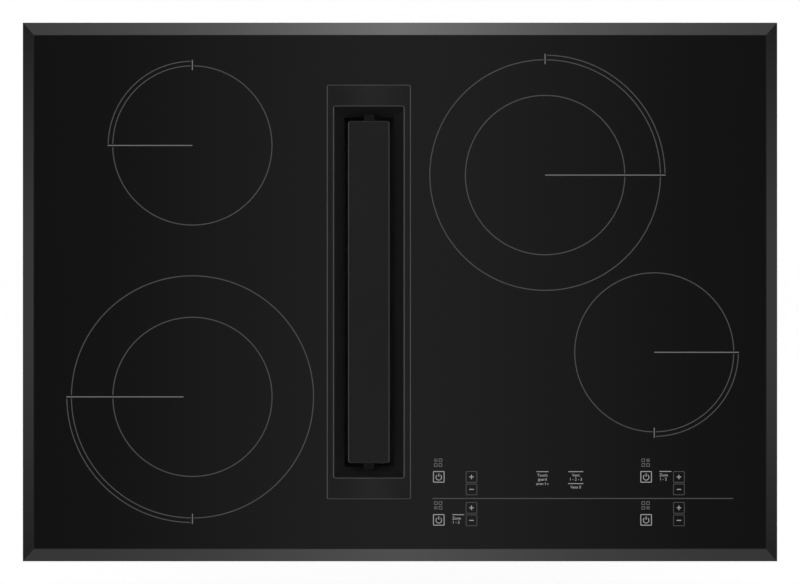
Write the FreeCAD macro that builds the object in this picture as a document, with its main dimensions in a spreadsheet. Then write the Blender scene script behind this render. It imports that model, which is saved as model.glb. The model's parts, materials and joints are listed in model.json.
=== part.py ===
import FreeCAD
import Part
import math
import os
import Sketcher

# Downdraft electric cooktop with a radiant glass top and an air grille beside its middle.
# Millimetres. The origin is the middle of the glass outline on the worktop's surface,
# +X to the cook's right, +Y to the rear and +Z up.

SIZES = {
    # Glass top and the foam seal under its edge
    "glass_width": 782.6,
    "glass_depth": 558.8,
    "glass_thick": 4.0,
    "bevel_side": 11.6,
    "bevel_front": 13.2,
    "bevel_drop": 2.6,
    "seal_thick": 1.6,
    "seal_width": 5.0,
    "seal_inset": 0.5,
    # Burner box under the glass
    "box_width": 748.0,
    "box_depth": 520.0,
    "box_height": 66.0,
    "box_gauge": 1.0,
    "box_corner": 10.0,
    "box_flange": 12.0,
    "louver_length": 60.0,
    "louver_width": 4.0,
    "louver_pitch": 13.0,
    "louver_count": 8,
    "louver_edge": 34.0,
    # Cooking zones: centres, and radii as printed on the glass
    "left_zone_x": -215.4,
    "rear_left_y": 151.8,
    "front_left_y": -109.0,
    "rear_right_x": 150.3,
    "rear_right_y": 121.0,
    "front_right_x": 263.3,
    "front_right_y": -62.9,
    "small_zone": 82.5,
    "front_left_zone": 125.5,
    "rear_right_zone": 119.4,
    # Radiant elements
    "pan_margin": 5.0,
    "pan_depth": 30.8,
    "pan_gauge": 0.6,
    "pan_gap": 1.2,
    "insulation_floor": 14.0,
    "insulation_wall": 9.0,
    "insulation_gap": 0.3,
    "ribbon_thick": 1.0,
    "ribbon_height": 5.0,
    "ribbon_first": 30.0,
    "ribbon_edge": 21.0,
    "ribbon_opening_angle": 24.0,
    "ribbon_wave": 6.0,
    "ribbon_inner_waves": 12,
    "ribbon_outer_waves": 28,
    "limiter_bore": 2.6,
    "limiter_head": 22.0,
    "limiter_head_width": 16.0,
    "limiter_head_height": 12.0,
    "limiter_gap": 0.4,
    "rear_left_limiter_angle": 0.0,
    "front_left_limiter_angle": 129.0,
    "rear_right_limiter_angle": 28.0,
    "front_right_limiter_angle": 60.0,
    # Hat rails on the floor of the box and the leaf springs that push the elements up
    "rail_height": 23.0,
    "rail_top": 26.0,
    "rail_foot": 10.0,
    "rail_gauge": 1.0,
    "rail_short": 10.0,
    "spring_width": 12.0,
    "spring_gauge": 0.5,
    "spring_half": 22.0,
    "spring_crown": 6.0,
    # Touch controls
    "control_x": 187.0,
    "control_y": -206.0,
    "control_width": 330.0,
    "control_depth": 84.0,
    "control_height": 22.0,
    "control_wall": 2.0,
    "control_corner": 4.0,
    "board_thick": 1.6,
    "board_gap": 1.0,
    "post_width": 8.0,
    "pad_height": 8.0,
    "pad_side": 12.4,
    "key_pitch": 13.2,
    "key_row_gap": 44.6,
    "left_key_x": 40.3,
    "left_scale_x": 74.1,
    "middle_key_x": 147.6,
    "fan_key_x": 182.2,
    "right_key_x": 255.1,
    "right_scale_x": 289.1,
    "upper_key_y": -191.9,
    # Relay board on its tray
    "tray_x": 93.5,
    "tray_y": -83.0,
    "tray_width": 157.0,
    "tray_depth": 150.0,
    "tray_lip": 8.0,
    "tray_gauge": 1.0,
    "relay_board_margin": 5.0,
    "relay_lift": 8.0,
    "relay_side": 20.0,
    "relay_height": 18.0,
    "relay_pitch": 26.0,
    "relay_count": 4,
    "transformer_side": 46.0,
    "transformer_height": 26.0,
    # Junction box, cover and conduit connector
    "junction_x": 325.0,
    "junction_y": 190.0,
    "junction_width": 78.0,
    "junction_depth": 118.0,
    "junction_height": 42.0,
    "junction_gauge": 1.2,
    "cover_lip": 8.0,
    "cover_slack": 0.2,
    "conduit_bore": 8.4,
    "conduit_body": 11.0,
    "conduit_nut": 15.0,
    "conduit_nut_thick": 4.0,
    "conduit_length": 26.0,
    # Air opening in the glass and the grille that lies in it
    "vent_x": -32.3,
    "opening_width": 72.4,
    "opening_length": 384.8,
    "grille_side": 7.4,
    "grille_end": 22.3,
    "opening_corner": 2.0,
    "grille_edge": 1.4,
    "grille_crown": 1.8,
    "skin": 1.2,
    "funnel_run": 10.4,
    "funnel_drop": 22.0,
    "slot_clearance": 2.0,
    "slot_corner": 4.0,
    "bar_side_gap": 14.6,
    "bar_end_gap": 14.9,
    "bar_depth": 8.0,
    "bar_corner": 3.0,
    "bar_round": 1.2,
    "bar_below": 0.6,
    "bracket_width": 11.5,
    "bracket_gauge": 1.5,
    "bracket_drop": 10.0,
    "bracket_foot": 5.5,
    "bracket_tab": 14.0,
    "bracket_inset": 5.0,
    # Vent chamber under the slot
    "chamber_side": 5.3,
    "chamber_end": 5.2,
    "chamber_corner": 5.0,
    "duct_gauge": 0.8,
    "chamber_flange": 7.0,
    "chamber_drop": 90.0,
    "gasket_thick": 1.2,
    "sleeve_gap": 0.3,
    "floor_gap": 1.5,
    # Grease filter and its rails
    "filter_slant": 125.0,
    "filter_end_gap": 4.5,
    "filter_thick": 9.0,
    "filter_border": 9.0,
    "filter_mesh_thick": 4.0,
    "filter_groove": 3.0,
    "filter_tilt_angle": 60.0,
    "filter_top": 28.0,
    "filter_seat": 0.3,
    "ledge_width": 24.0,
    "ledge_lip": 10.0,
    "rail_end_gap": 28.1,
    # Plenum below the box
    "plenum_flange": 10.0,
    "plenum_straight": 96.0,
    "plenum_taper": 55.0,
    "plenum_foot": 270.0,
    "plenum_bottom": 336.0,
    "inlet_radius": 68.0,
    "drain_radius": 20.0,
    "drain_y": -60.0,
    "drain_lip": 6.0,
    "cup_radius": 34.0,
    "cup_depth": 50.0,
    "cup_wall": 1.5,
    "cup_gap": 0.3,
    "cup_rim": 4.0,
    # Blower: wheel, scroll and plates
    "wheel_z": -224.4,
    "wheel_radius": 76.0,
    "wheel_width": 74.0,
    "wheel_gap": 6.0,
    "blade_count": 36,
    "blade_thick": 1.0,
    "blade_arc": 10.8,
    "blade_centre_r": 68.5,
    "blade_centre_side": 9.0,
    "blade_first_angle": 236.0,
    "blade_last_angle": 309.0,
    "wheel_ring": 6.0,
    "wheel_ring_thick": 3.0,
    "wheel_web": 1.5,
    "hub_radius": 13.0,
    "hub_length": 22.0,
    "scroll_width": 90.4,
    "scroll_step": 16.0,
    "scroll_first": 76.0,
    "scroll_mouth": 120.0,
    "tongue_y": 32.0,
    "plate_margin": 8.0,
    "inlet_ring": 62.0,
    "inlet_lip": 4.0,
    # Motor behind the wheel
    "shaft_radius": 4.0,
    "shaft_fit": 0.04,
    "motor_radius": 48.0,
    "motor_wall": 2.0,
    "motor_bell": 22.0,
    "motor_stack": 38.0,
    "motor_gap": 0.6,
    "rotor_radius": 27.0,
    "bearing_radius": 10.0,
    "bearing_length": 12.0,
    "motor_flange": 8.0,
    "motor_flange_thick": 2.5,
    "stator_slots": 12,
    "slot_depth": 9.0,
    "slot_width": 6.0,
    "shaft_end": 3.0,
    "cooling_slots": 6,
    "cooling_width": 6.0,
    "cooling_length": 16.0,
    "capacitor_radius": 15.0,
    "capacitor_length": 52.0,
    "capacitor_y": -66.0,
    "capacitor_drop": 52.0,
    "strap_gauge": 1.0,
    "strap_width": 14.0,
    "strap_foot": 12.0,
    # Outlet transition, collar and damper
    "duct_radius": 75.0,
    "outlet_drop": 45.0,
    "outlet_bends": 9,
    "collar_length": 45.0,
    "collar_bead": 1.2,
    "damper_radius": 72.4,
    "damper_thick": 0.8,
    "damper_pin": 3.0,
    "damper_fit": 0.05,
    "damper_barrel": 2.0,
    "damper_rise": 22.0,
    # Hold-down brackets and clamp screws
    "clamp_x": 380.0,
    "clamp_plate": 2.0,
    "clamp_reach": 40.0,
    "clamp_end": 5.0,
    "clamp_width": 32.0,
    "clamp_lip": 10.0,
    "clamp_thread": 3.0,
    "clamp_fit": 0.05,
    "clamp_pad": 4.0,
    "clamp_pad_thick": 4.0,
    "clamp_tail": 30.0,
    "worktop_thick": 38.0,
    "clamp_hex": 5.4,
    "clamp_head": 5.0,
    # Screws
    "screw_head": 3.6,
    "screw_head_thick": 2.2,
    # Cuts run this far past a face
    "overrun": 1.0,
}

# Shares: how places follow the sizes of the piece that carries them
SPRING_SHARES = (-0.55, 0.55)
FLANGE_SCREW_SHARES = (-0.42, -0.14, 0.14, 0.42)
POST_SHARES = (-0.44, 0.44)


class Size:
    """A named size, or a sum worked out from them, as a number and as a sheet formula."""

    def __init__(self, number, formula):
        self.number = number
        self.formula = formula

    def __float__(self):
        return float(self.number)

    def __add__(self, other):
        return Size(self.number + float(other), f"({self.formula} + {formula(other)})")

    def __radd__(self, other):
        return Size(float(other) + self.number, f"({formula(other)} + {self.formula})")

    def __sub__(self, other):
        return Size(self.number - float(other), f"({self.formula} - {formula(other)})")

    def __rsub__(self, other):
        return Size(float(other) - self.number, f"({formula(other)} - {self.formula})")

    def __mul__(self, other):
        return Size(self.number * float(other), f"({self.formula} * {formula(other)})")

    def __rmul__(self, other):
        return Size(float(other) * self.number, f"({formula(other)} * {self.formula})")

    def __truediv__(self, other):
        return Size(self.number / float(other), f"({self.formula} / {formula(other)})")

    def __neg__(self):
        return Size(-self.number, f"(0 - {self.formula})")


def formula(value):
    """The sheet formula of a size, or a plain number as text."""
    if isinstance(value, Size):
        return value.formula
    return repr(float(value))


def sine(angle):
    return Size(math.sin(math.radians(float(angle))), f"sin({formula(angle)})")


def cosine(angle):
    return Size(math.cos(math.radians(float(angle))), f"cos({formula(angle)})")


def root(value):
    return Size(math.sqrt(float(value)), f"sqrt({formula(value)})")


def fill_sheet():
    """Put every size in the sheet as text, with its name as the alias."""
    sheet = DOC.addObject("Spreadsheet::Sheet", "Sizes")
    for row, (name, number) in enumerate(SIZES.items(), start=1):
        sheet.set(f"A{row}", name)
        sheet.set(f"B{row}", str(number))
        sheet.setAlias(f"B{row}", name)
    DOC.recompute()
    return {name: Size(number, f"Sizes.{name}") for name, number in SIZES.items()}


class Sheet:
    """The named sizes as attributes."""

    def __init__(self, sizes):
        self.__dict__.update(sizes)


DOC = FreeCAD.newDocument("downdraft_cooktop")
S = Sheet(fill_sheet())
V = FreeCAD.Vector
UP = V(0, 0, 1)
ALONG_Y = V(0, 1, 0)
ALONG_X = V(1, 0, 0)
NODES = []
TINY = 1e-6


# Levels and places that several pieces share
GLASS_UNDER = S.seal_thick
GLASS_TOP = S.seal_thick + S.glass_thick
BOX_BOTTOM = GLASS_UNDER - S.box_height
FLOOR_TOP = BOX_BOTTOM + S.box_gauge
PAN_BOTTOM = GLASS_UNDER - S.pan_gap - S.pan_depth
RAIL_TOP = FLOOR_TOP + S.rail_height
GRILLE_WIDTH = S.opening_width + 2 * S.grille_side
GRILLE_LENGTH = S.opening_length + 2 * S.grille_end
BAR_WIDTH = S.opening_width - 2 * S.bar_side_gap
BAR_LENGTH = S.opening_length - 2 * S.bar_end_gap
SLOT_WIDTH = S.opening_width + 2 * (S.skin + S.slot_clearance)
SLOT_LENGTH = S.opening_length + 2 * (S.skin + S.slot_clearance)
CHAMBER_TOP = GLASS_UNDER - S.gasket_thick
CHAMBER_WIDTH = S.opening_width + 2 * S.chamber_side
CHAMBER_LENGTH = S.opening_length + 2 * S.chamber_end
CHAMBER_OUT_WIDTH = CHAMBER_WIDTH + 2 * S.duct_gauge
CHAMBER_OUT_LENGTH = CHAMBER_LENGTH + 2 * S.duct_gauge
PLENUM_WIDTH = CHAMBER_OUT_WIDTH + 2 * S.sleeve_gap
PLENUM_LENGTH = CHAMBER_OUT_LENGTH + 2 * S.sleeve_gap
PLENUM_FACE = S.vent_x + PLENUM_WIDTH / 2 + S.duct_gauge
SCROLL_START = PLENUM_FACE + S.duct_gauge
SCROLL_END = SCROLL_START + S.scroll_width
MOTOR_START = SCROLL_END + S.duct_gauge
WHEEL_START = SCROLL_START + S.wheel_gap
WHEEL_END = WHEEL_START + S.wheel_width
SCROLL_LAST = S.scroll_first + 3 * S.scroll_step
SCROLL_RIGHT = S.scroll_step / 2 + SCROLL_LAST
OUTLET_Y = (S.tongue_y + SCROLL_RIGHT) / 2
OUTLET_X = (SCROLL_START + SCROLL_END) / 2
MOUTH_Z = S.wheel_z - S.scroll_mouth
COLLAR_TOP = MOUTH_Z - S.outlet_drop
COLLAR_BOTTOM = COLLAR_TOP - S.collar_length
DAMPER_Z = COLLAR_TOP - S.damper_rise
CLAMP_TIP = -S.worktop_thick

BURNERS = {
    "rear_left": (S.left_zone_x, S.rear_left_y, S.small_zone, S.rear_left_limiter_angle),
    "front_left": (S.left_zone_x, S.front_left_y, S.front_left_zone, S.front_left_limiter_angle),
    "rear_right": (S.rear_right_x, S.rear_right_y, S.rear_right_zone, S.rear_right_limiter_angle),
    "front_right": (S.front_right_x, S.front_right_y, S.small_zone, S.front_right_limiter_angle),
}


# Helpers: bodies, sketches and features whose sizes are bound to the sheet


def bind(owner, name, value):
    """Tie a property to the sheet, where its value comes from there."""
    if isinstance(value, Size):
        owner.setExpression(name, value.formula)


def place(piece, x, y, z, axis=UP, angle=0):
    """Give a sub-part its bound Placement."""
    base = V(float(x), float(y), float(z))
    piece.Placement = FreeCAD.Placement(base, FreeCAD.Rotation(axis, float(angle)))
    bind(piece, "Placement.Base.x", x)
    bind(piece, "Placement.Base.y", y)
    bind(piece, "Placement.Base.z", z)
    bind(piece, "Placement.Rotation.Angle", angle)


def new_body(label, x=0, y=0, z=0, axis=UP, angle=0, node=True):
    """A PartDesign body that becomes a node of its own, unless it joins a group."""
    body = DOC.addObject("PartDesign::Body", label)
    body.Label = label
    place(body, x, y, z, axis, angle)
    if node:
        NODES.append(body)
    return body


def new_group(label, pieces):
    """Separate solids that share one node."""
    group = DOC.addObject("Part::Compound", label)
    group.Label = label
    group.Links = pieces
    NODES.append(group)
    return group


def new_sketch(body, plane, lift=0, turn=0):
    """A sketch on one of the body's own planes, lifted along the plane's normal."""
    support = next(f for f in body.Origin.OriginFeatures if f.Role == plane + "_Plane")
    sketch = body.newObject("Sketcher::SketchObject", body.Label + "_sketch")
    sketch.AttachmentSupport = (support, "")
    sketch.MapMode = "FlatFace"
    offset = FreeCAD.Rotation(UP, float(turn))
    sketch.AttachmentOffset = FreeCAD.Placement(V(0, 0, float(lift)), offset)
    bind(sketch, "AttachmentOffset.Base.z", lift)
    bind(sketch, "AttachmentOffset.Rotation.Angle", turn)
    return sketch


def measure(sketch, kind, *parts):
    """Add a dimension whose last part is its value, tied to the sheet."""
    index = sketch.addConstraint(Sketcher.Constraint(kind, *parts[:-1], float(parts[-1])))
    bind(sketch, f"Constraints[{index}]", parts[-1])


def pin_point(sketch, shape, spot, x, y):
    """Hold one point of a shape at x, y from the sketch's origin."""
    measure(sketch, "DistanceX", -1, 1, shape, spot, x)
    measure(sketch, "DistanceY", -1, 1, shape, spot, y)


def circle(sketch, radius, x=0, y=0):
    shape = sketch.addGeometry(Part.Circle(V(float(x), float(y), 0), UP, float(radius)), False)
    pin_point(sketch, shape, 3, x, y)
    measure(sketch, "Radius", shape, radius)


def add_arc(sketch, x, y, radius, first, last):
    """An arc about x, y from the first to the last angle, in radians."""
    round_shape = Part.Circle(V(float(x), float(y), 0), UP, float(radius))
    return sketch.addGeometry(Part.ArcOfCircle(round_shape, first, last), False)


def corner_arc(spots, index, radius):
    """Where a rounded corner's arc starts and ends, its middle, and which way it turns."""
    spot = spots[index]
    back = (spots[index - 1] - spot).normalize()
    ahead = (spots[(index + 1) % len(spots)] - spot).normalize()
    half = back.getAngle(ahead) / 2
    reach = radius / math.tan(half)
    middle = spot + (back + ahead).normalize() * (radius / math.sin(half))
    turns_left = back.cross(ahead).z < 0
    return spot + back * reach, spot + ahead * reach, middle, turns_left


def outline(sketch, corners):
    """A closed outline through (x, y) corners, rounded where a third value gives a radius."""
    spots = [V(float(corner[0]), float(corner[1]), 0) for corner in corners]
    rounds = {
        index: corner_arc(spots, index, float(corner[2]))
        for index, corner in enumerate(corners)
        if len(corner) == 3
    }
    lines = []
    for index in range(len(spots)):
        after = (index + 1) % len(spots)
        start = rounds[index][1] if index in rounds else spots[index]
        end = rounds[after][0] if after in rounds else spots[after]
        lines.append(sketch.addGeometry(Part.LineSegment(start, end), False))
    for index, corner in enumerate(corners):
        before = lines[index - 1]
        here = lines[index]
        if index not in rounds:
            sketch.addConstraint(Sketcher.Constraint("Coincident", before, 2, here, 1))
            pin_point(sketch, here, 1, corner[0], corner[1])
            continue
        start, end, middle, turns_left = rounds[index]
        if not turns_left:
            start, end = end, start
        first = math.atan2(start.y - middle.y, start.x - middle.x)
        last = math.atan2(end.y - middle.y, end.x - middle.x)
        if last < first:
            last += 2 * math.pi
        arc = add_arc(sketch, middle.x, middle.y, float(corner[2]), first, last)
        near = 1 if turns_left else 2
        sketch.addConstraint(Sketcher.Constraint("Tangent", before, 2, arc, near))
        sketch.addConstraint(Sketcher.Constraint("Tangent", here, 1, arc, 3 - near))
        measure(sketch, "Radius", arc, corner[2])
        point = sketch.addGeometry(Part.Point(spots[index]), True)
        pin_point(sketch, point, 1, corner[0], corner[1])
        sketch.addConstraint(Sketcher.Constraint("PointOnObject", point, 1, before))
        sketch.addConstraint(Sketcher.Constraint("PointOnObject", point, 1, here))


def rectangle(sketch, width, depth, corner=None, x=0, y=0):
    """A rectangle about x, y, with rounded corners where a radius is given."""
    ends = ((-1, -1), (1, -1), (1, 1), (-1, 1))
    points = [(x + width / 2 * a, y + depth / 2 * b) for a, b in ends]
    outline(sketch, points if corner is None else [(*point, corner) for point in points])


def add_feature(body, kind, sketch, length=None, reverse=False, both=False):
    """A pad, pocket or other feature on top of what the body has so far."""
    feature = body.newObject("PartDesign::" + kind, f"{body.Label}_{kind.lower()}")
    feature.Profile = sketch
    feature.Reversed = reverse
    if both:
        feature.SideType = "Symmetric"
    if length is not None:
        feature.Length = float(length)
        bind(feature, "Length", length)
    body.Tip = feature
    return feature


def pad(body, sketch, length, reverse=False, both=False):
    return add_feature(body, "Pad", sketch, length, reverse, both)


def pocket(body, sketch, length, reverse=False, both=False):
    return add_feature(body, "Pocket", sketch, length, reverse, both)


def revolve(body, sketch, axis="V_Axis", angle=360, kind="Revolution"):
    feature = add_feature(body, kind, sketch)
    feature.ReferenceAxis = (sketch, [axis])
    feature.Angle = float(angle)
    bind(feature, "Angle", angle)
    return feature


def hexagon(sketch, radius, x=0, y=0):
    corners = [(x + radius * cosine(60 * k), y + radius * sine(60 * k)) for k in range(6)]
    outline(sketch, corners)


def loft(body, first, last, kind="AdditiveLoft"):
    feature = body.newObject("PartDesign::" + kind, f"{body.Label}_{kind.lower()}")
    feature.Profile = first
    feature.Sections = [last]
    feature.Ruled = True
    body.Tip = feature
    return feature


def round_copies(body, feature, sketch, count, sweep=360):
    """Copies of a feature round the sketch's normal, all round unless a sweep is given."""
    pattern = body.newObject("PartDesign::PolarPattern", body.Label + "_polar")
    pattern.Originals = [feature]
    pattern.Axis = (sketch, ["N_Axis"])
    pattern.Angle = float(sweep)
    bind(pattern, "Angle", sweep)
    bind(pattern, "Occurrences", count)
    body.Tip = pattern
    return pattern


def row_copies(body, feature, sketch, length, count, axis="H_Axis"):
    """Copies of a feature in a row along one of the sketch's axes."""
    pattern = body.newObject("PartDesign::LinearPattern", body.Label + "_row")
    pattern.Originals = [feature]
    pattern.Direction = (sketch, [axis])
    bind(pattern, "Length", length)
    bind(pattern, "Occurrences", count)
    body.Tip = pattern
    return pattern


def mirror_copy(body, features, sketch, axis="V_Axis"):
    pattern = body.newObject("PartDesign::Mirrored", body.Label + "_mirror")
    pattern.Originals = features
    pattern.MirrorPlane = (sketch, [axis])
    body.Tip = pattern
    return pattern


def fillet(body, pick, radius):
    """Round the edges of the body so far that the pick function accepts."""
    base = body.Tip
    DOC.recompute()
    names = [f"Edge{i}" for i, edge in enumerate(base.Shape.Edges, start=1) if pick(edge)]
    feature = body.newObject("PartDesign::Fillet", body.Label + "_fillet")
    feature.Base = (base, names)
    feature.Radius = float(radius)
    bind(feature, "Radius", radius)
    body.Tip = feature
    return feature


def shell(body, pick, gauge, inward=True):
    """Hollow the body so far to a sheet, open at the faces that the pick function accepts."""
    base = body.Tip
    DOC.recompute()
    names = [f"Face{i}" for i, face in enumerate(base.Shape.Faces, start=1) if pick(face)]
    feature = body.newObject("PartDesign::Thickness", body.Label + "_shell")
    feature.Base = (base, names)
    feature.Value = float(gauge)
    bind(feature, "Value", gauge)
    feature.Reversed = inward
    feature.Join = "Intersection"
    body.Tip = feature
    return feature


def faces_along(direction, level):
    """Accepts flat faces square to a direction at a level along it."""

    def accepts(face):
        normal = face.normalAt(0, 0)
        square = abs(abs(normal.dot(direction)) - 1) < TINY
        return square and abs(face.CenterOfMass.dot(direction) - float(level)) < TINY

    return accepts


def edges_at(direction, level):
    """Accepts edges that lie wholly at a level along a direction."""

    def accepts(edge):
        return all(abs(v.Point.dot(direction) - float(level)) < TINY for v in edge.Vertexes)

    return accepts


def upright(edge):
    """Accepts straight edges along Z."""
    ends = [vertex.Point for vertex in edge.Vertexes]
    return len(ends) == 2 and abs(abs((ends[1] - ends[0]).normalize().z) - 1) < TINY


# Glass top, seal and burner box


def glass_top():
    """A plate whose four edges are ground to wide bevels that meet in mitres."""
    body = new_body("glass_top", z=GLASS_UNDER)
    sketch = new_sketch(body, "XY")
    rectangle(sketch, S.glass_width, S.glass_depth)
    pad(body, sketch, S.glass_thick - S.bevel_drop)
    low = new_sketch(body, "XY", S.glass_thick - S.bevel_drop)
    rectangle(low, S.glass_width, S.glass_depth)
    high = new_sketch(body, "XY", S.glass_thick)
    rectangle(high, S.glass_width - 2 * S.bevel_side, S.glass_depth - 2 * S.bevel_front)
    loft(body, low, high)
    slot = new_sketch(body, "XY", S.glass_thick)
    rectangle(slot, SLOT_WIDTH, SLOT_LENGTH, S.slot_corner, x=S.vent_x)
    pocket(body, slot, S.glass_thick)


def worktop_seal():
    """A foam ring under the edge of the glass: its underside lies on the worktop."""
    body = new_body("worktop_seal")
    width = S.glass_width - 2 * S.seal_inset
    depth = S.glass_depth - 2 * S.seal_inset
    sketch = new_sketch(body, "XY")
    rectangle(sketch, width, depth)
    rectangle(sketch, width - 2 * S.seal_width, depth - 2 * S.seal_width)
    pad(body, sketch, S.seal_thick)


def burner_box():
    """The box's folded sides, with a flange turned in under the glass."""
    body = new_body("burner_box", z=GLASS_UNDER)
    sketch = new_sketch(body, "XY")
    rectangle(sketch, S.box_width, S.box_depth, S.box_corner)
    pad(body, sketch, S.box_height, reverse=True)
    inner_width = S.box_width - 2 * S.box_gauge
    inner_depth = S.box_depth - 2 * S.box_gauge
    hollow = new_sketch(body, "XY", -S.box_gauge)
    rectangle(hollow, inner_width, inner_depth, S.box_corner - S.box_gauge)
    pocket(body, hollow, S.box_height - S.box_gauge)
    mouth = new_sketch(body, "XY")
    rectangle(mouth, S.box_width - 2 * S.box_flange, S.box_depth - 2 * S.box_flange)
    pocket(body, mouth, S.box_gauge)


def box_floor():
    """The floor welded in between the box's sides, cut out for the duct and louvred."""
    body = new_body("box_floor", z=BOX_BOTTOM)
    inner_width = S.box_width - 2 * S.box_gauge
    inner_depth = S.box_depth - 2 * S.box_gauge
    sketch = new_sketch(body, "XY")
    rectangle(sketch, inner_width, inner_depth, S.box_corner - S.box_gauge)
    gap = 2 * S.floor_gap
    rectangle(sketch, CHAMBER_OUT_WIDTH + gap, CHAMBER_OUT_LENGTH + gap, x=S.vent_x)
    circle(sketch, S.conduit_body + S.cover_slack, S.junction_x, S.junction_y)
    pad(body, sketch, S.box_gauge)
    louver = new_sketch(body, "XY", S.box_gauge)
    first = S.louver_edge - S.box_width / 2
    front = S.louver_edge + S.louver_length / 2 - S.box_depth / 2
    rectangle(louver, S.louver_width, S.louver_length, x=first, y=front)
    slot = pocket(body, louver, S.box_gauge)
    span = S.louver_pitch * (S.louver_count - 1)
    row_copies(body, slot, louver, span, S.louver_count)


# Radiant elements


def element_pan(name, x, y, zone):
    body = new_body("element_pan_" + name, x, y, PAN_BOTTOM)
    radius = zone + S.pan_margin
    sketch = new_sketch(body, "XZ")
    gauge = S.pan_gauge
    outline(sketch, [
        (0, 0), (radius, 0), (radius, S.pan_depth), (radius - gauge, S.pan_depth),
        (radius - gauge, gauge), (0, gauge),
    ])
    revolve(body, sketch)
    return body


def element_insulation(name, x, y, zone, turn):
    """Pressed fibre: a floor with a wall up to the glass, cut for the limiter's rod."""
    body = new_body("element_insulation_" + name, x, y, PAN_BOTTOM + S.pan_gauge, UP, turn)
    radius = zone + S.pan_margin - S.pan_gauge - S.insulation_gap
    inner = radius - S.insulation_wall
    top = GLASS_UNDER - PAN_BOTTOM - S.pan_gauge
    sketch = new_sketch(body, "XZ")
    outline(sketch, [
        (0, 0), (radius, 0), (radius, top), (inner, top), (inner, S.insulation_floor),
        (0, S.insulation_floor),
    ])
    revolve(body, sketch)
    notch = new_sketch(body, "XY", top)
    width = 2 * (S.limiter_bore + S.insulation_gap)
    rectangle(notch, 2 * radius, width, x=radius)
    pocket(body, notch, S.limiter_gap + 2 * S.limiter_bore + S.insulation_gap)


def element_ribbon(name, x, y, zone, turn):
    """One corrugated ribbon on edge: two open rings and the link between them."""
    level = PAN_BOTTOM + S.pan_gauge + S.insulation_floor
    body = new_body("element_ribbon_" + name, x, y, level, UP, turn + S.ribbon_opening_angle / 2)
    outer = zone - S.ribbon_edge
    sweep = 360 - S.ribbon_opening_angle
    link = new_sketch(body, "XY", turn=sweep)
    length = outer - S.ribbon_first + S.ribbon_thick
    rectangle(link, length, S.ribbon_thick, x=S.ribbon_first + length / 2, y=S.ribbon_thick / 2)
    pad(body, link, S.ribbon_height)
    thick = S.ribbon_thick
    for radius, waves in ((S.ribbon_first, S.ribbon_inner_waves), (outer, S.ribbon_outer_waves)):
        step = sweep / waves
        crest = radius + S.ribbon_wave
        wave = new_sketch(body, "XY")
        outline(wave, [
            (radius, 0), (crest * cosine(step / 2), crest * sine(step / 2)),
            (radius * cosine(step), radius * sine(step)),
            ((radius + thick) * cosine(step), (radius + thick) * sine(step)),
            ((crest + thick) * cosine(step / 2), (crest + thick) * sine(step / 2)),
            (radius + thick, 0),
        ])
        round_copies(body, pad(body, wave, S.ribbon_height), wave, waves, sweep - step)


def element_limiter(name, x, y, zone, turn):
    """A rod across the element and the switch block that it ends in, outside the pan."""
    drop = S.limiter_gap + S.limiter_bore
    body = new_body("element_limiter_" + name, x, y, GLASS_UNDER - drop, UP, turn)
    reach = zone + S.pan_margin
    rod = new_sketch(body, "YZ")
    circle(rod, S.limiter_bore)
    pad(body, rod, reach + S.limiter_gap)
    head = new_sketch(body, "XY", S.limiter_bore + S.limiter_gap / 2)
    middle = reach + S.limiter_gap + S.limiter_head / 2
    rectangle(head, S.limiter_head, S.limiter_head_width, x=middle)
    pad(body, head, S.limiter_head_height, reverse=True)


def notch_pan(pan, turn, zone):
    """The pan's rim is cut where the limiter's rod leaves it."""
    sketch = new_sketch(pan, "XY", S.pan_depth, turn)
    width = 2 * (S.limiter_bore + S.insulation_gap)
    rectangle(sketch, 2 * S.pan_margin, width, x=zone + S.pan_margin)
    pocket(pan, sketch, S.limiter_gap + 2 * S.limiter_bore + S.insulation_gap - S.pan_gap)


def support_rails():
    """Hat-section rails on the floor, one under each element."""
    rails = []
    for name, (x, y, zone, _) in BURNERS.items():
        body = new_body("rail_" + name, x, y, FLOOR_TOP, node=False)
        half = S.rail_top / 2
        foot = half + S.rail_foot
        gauge = S.rail_gauge
        sketch = new_sketch(body, "YZ")
        outline(sketch, [
            (-foot, 0), (-half + gauge, 0), (-half + gauge, S.rail_height - gauge),
            (half - gauge, S.rail_height - gauge), (half - gauge, 0), (foot, 0),
            (foot, gauge), (half, gauge), (half, S.rail_height), (-half, S.rail_height),
            (-half, gauge), (-foot, gauge),
        ])
        pad(body, sketch, 2 * (zone - S.rail_short), both=True)
        rails.append(body)
    new_group("support_rails", rails)


def element_springs():
    """Bowed leaf springs between the rails and the pans, two to an element."""
    springs = []
    rise = PAN_BOTTOM - RAIL_TOP
    gauge = S.spring_gauge
    half = S.spring_half
    for name, (x, y, zone, _) in BURNERS.items():
        for side, share in enumerate(SPRING_SHARES):
            body = new_body(f"spring_{name}_{side}", x + zone * share, y, RAIL_TOP, node=False)
            sketch = new_sketch(body, "XZ")
            outline(sketch, [
                (-half, 0), (-half + S.spring_crown, 0), (-S.spring_crown, rise - gauge),
                (S.spring_crown, rise - gauge), (half - S.spring_crown, 0), (half, 0),
                (half, gauge), (half - S.spring_crown + gauge, gauge),
                (S.spring_crown + gauge, rise), (-S.spring_crown - gauge, rise),
                (-half + S.spring_crown - gauge, gauge), (-half, gauge),
            ])
            pad(body, sketch, S.spring_width, both=True)
            springs.append(body)
    new_group("element_springs", springs)


# Touch controls and electronics


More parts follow.
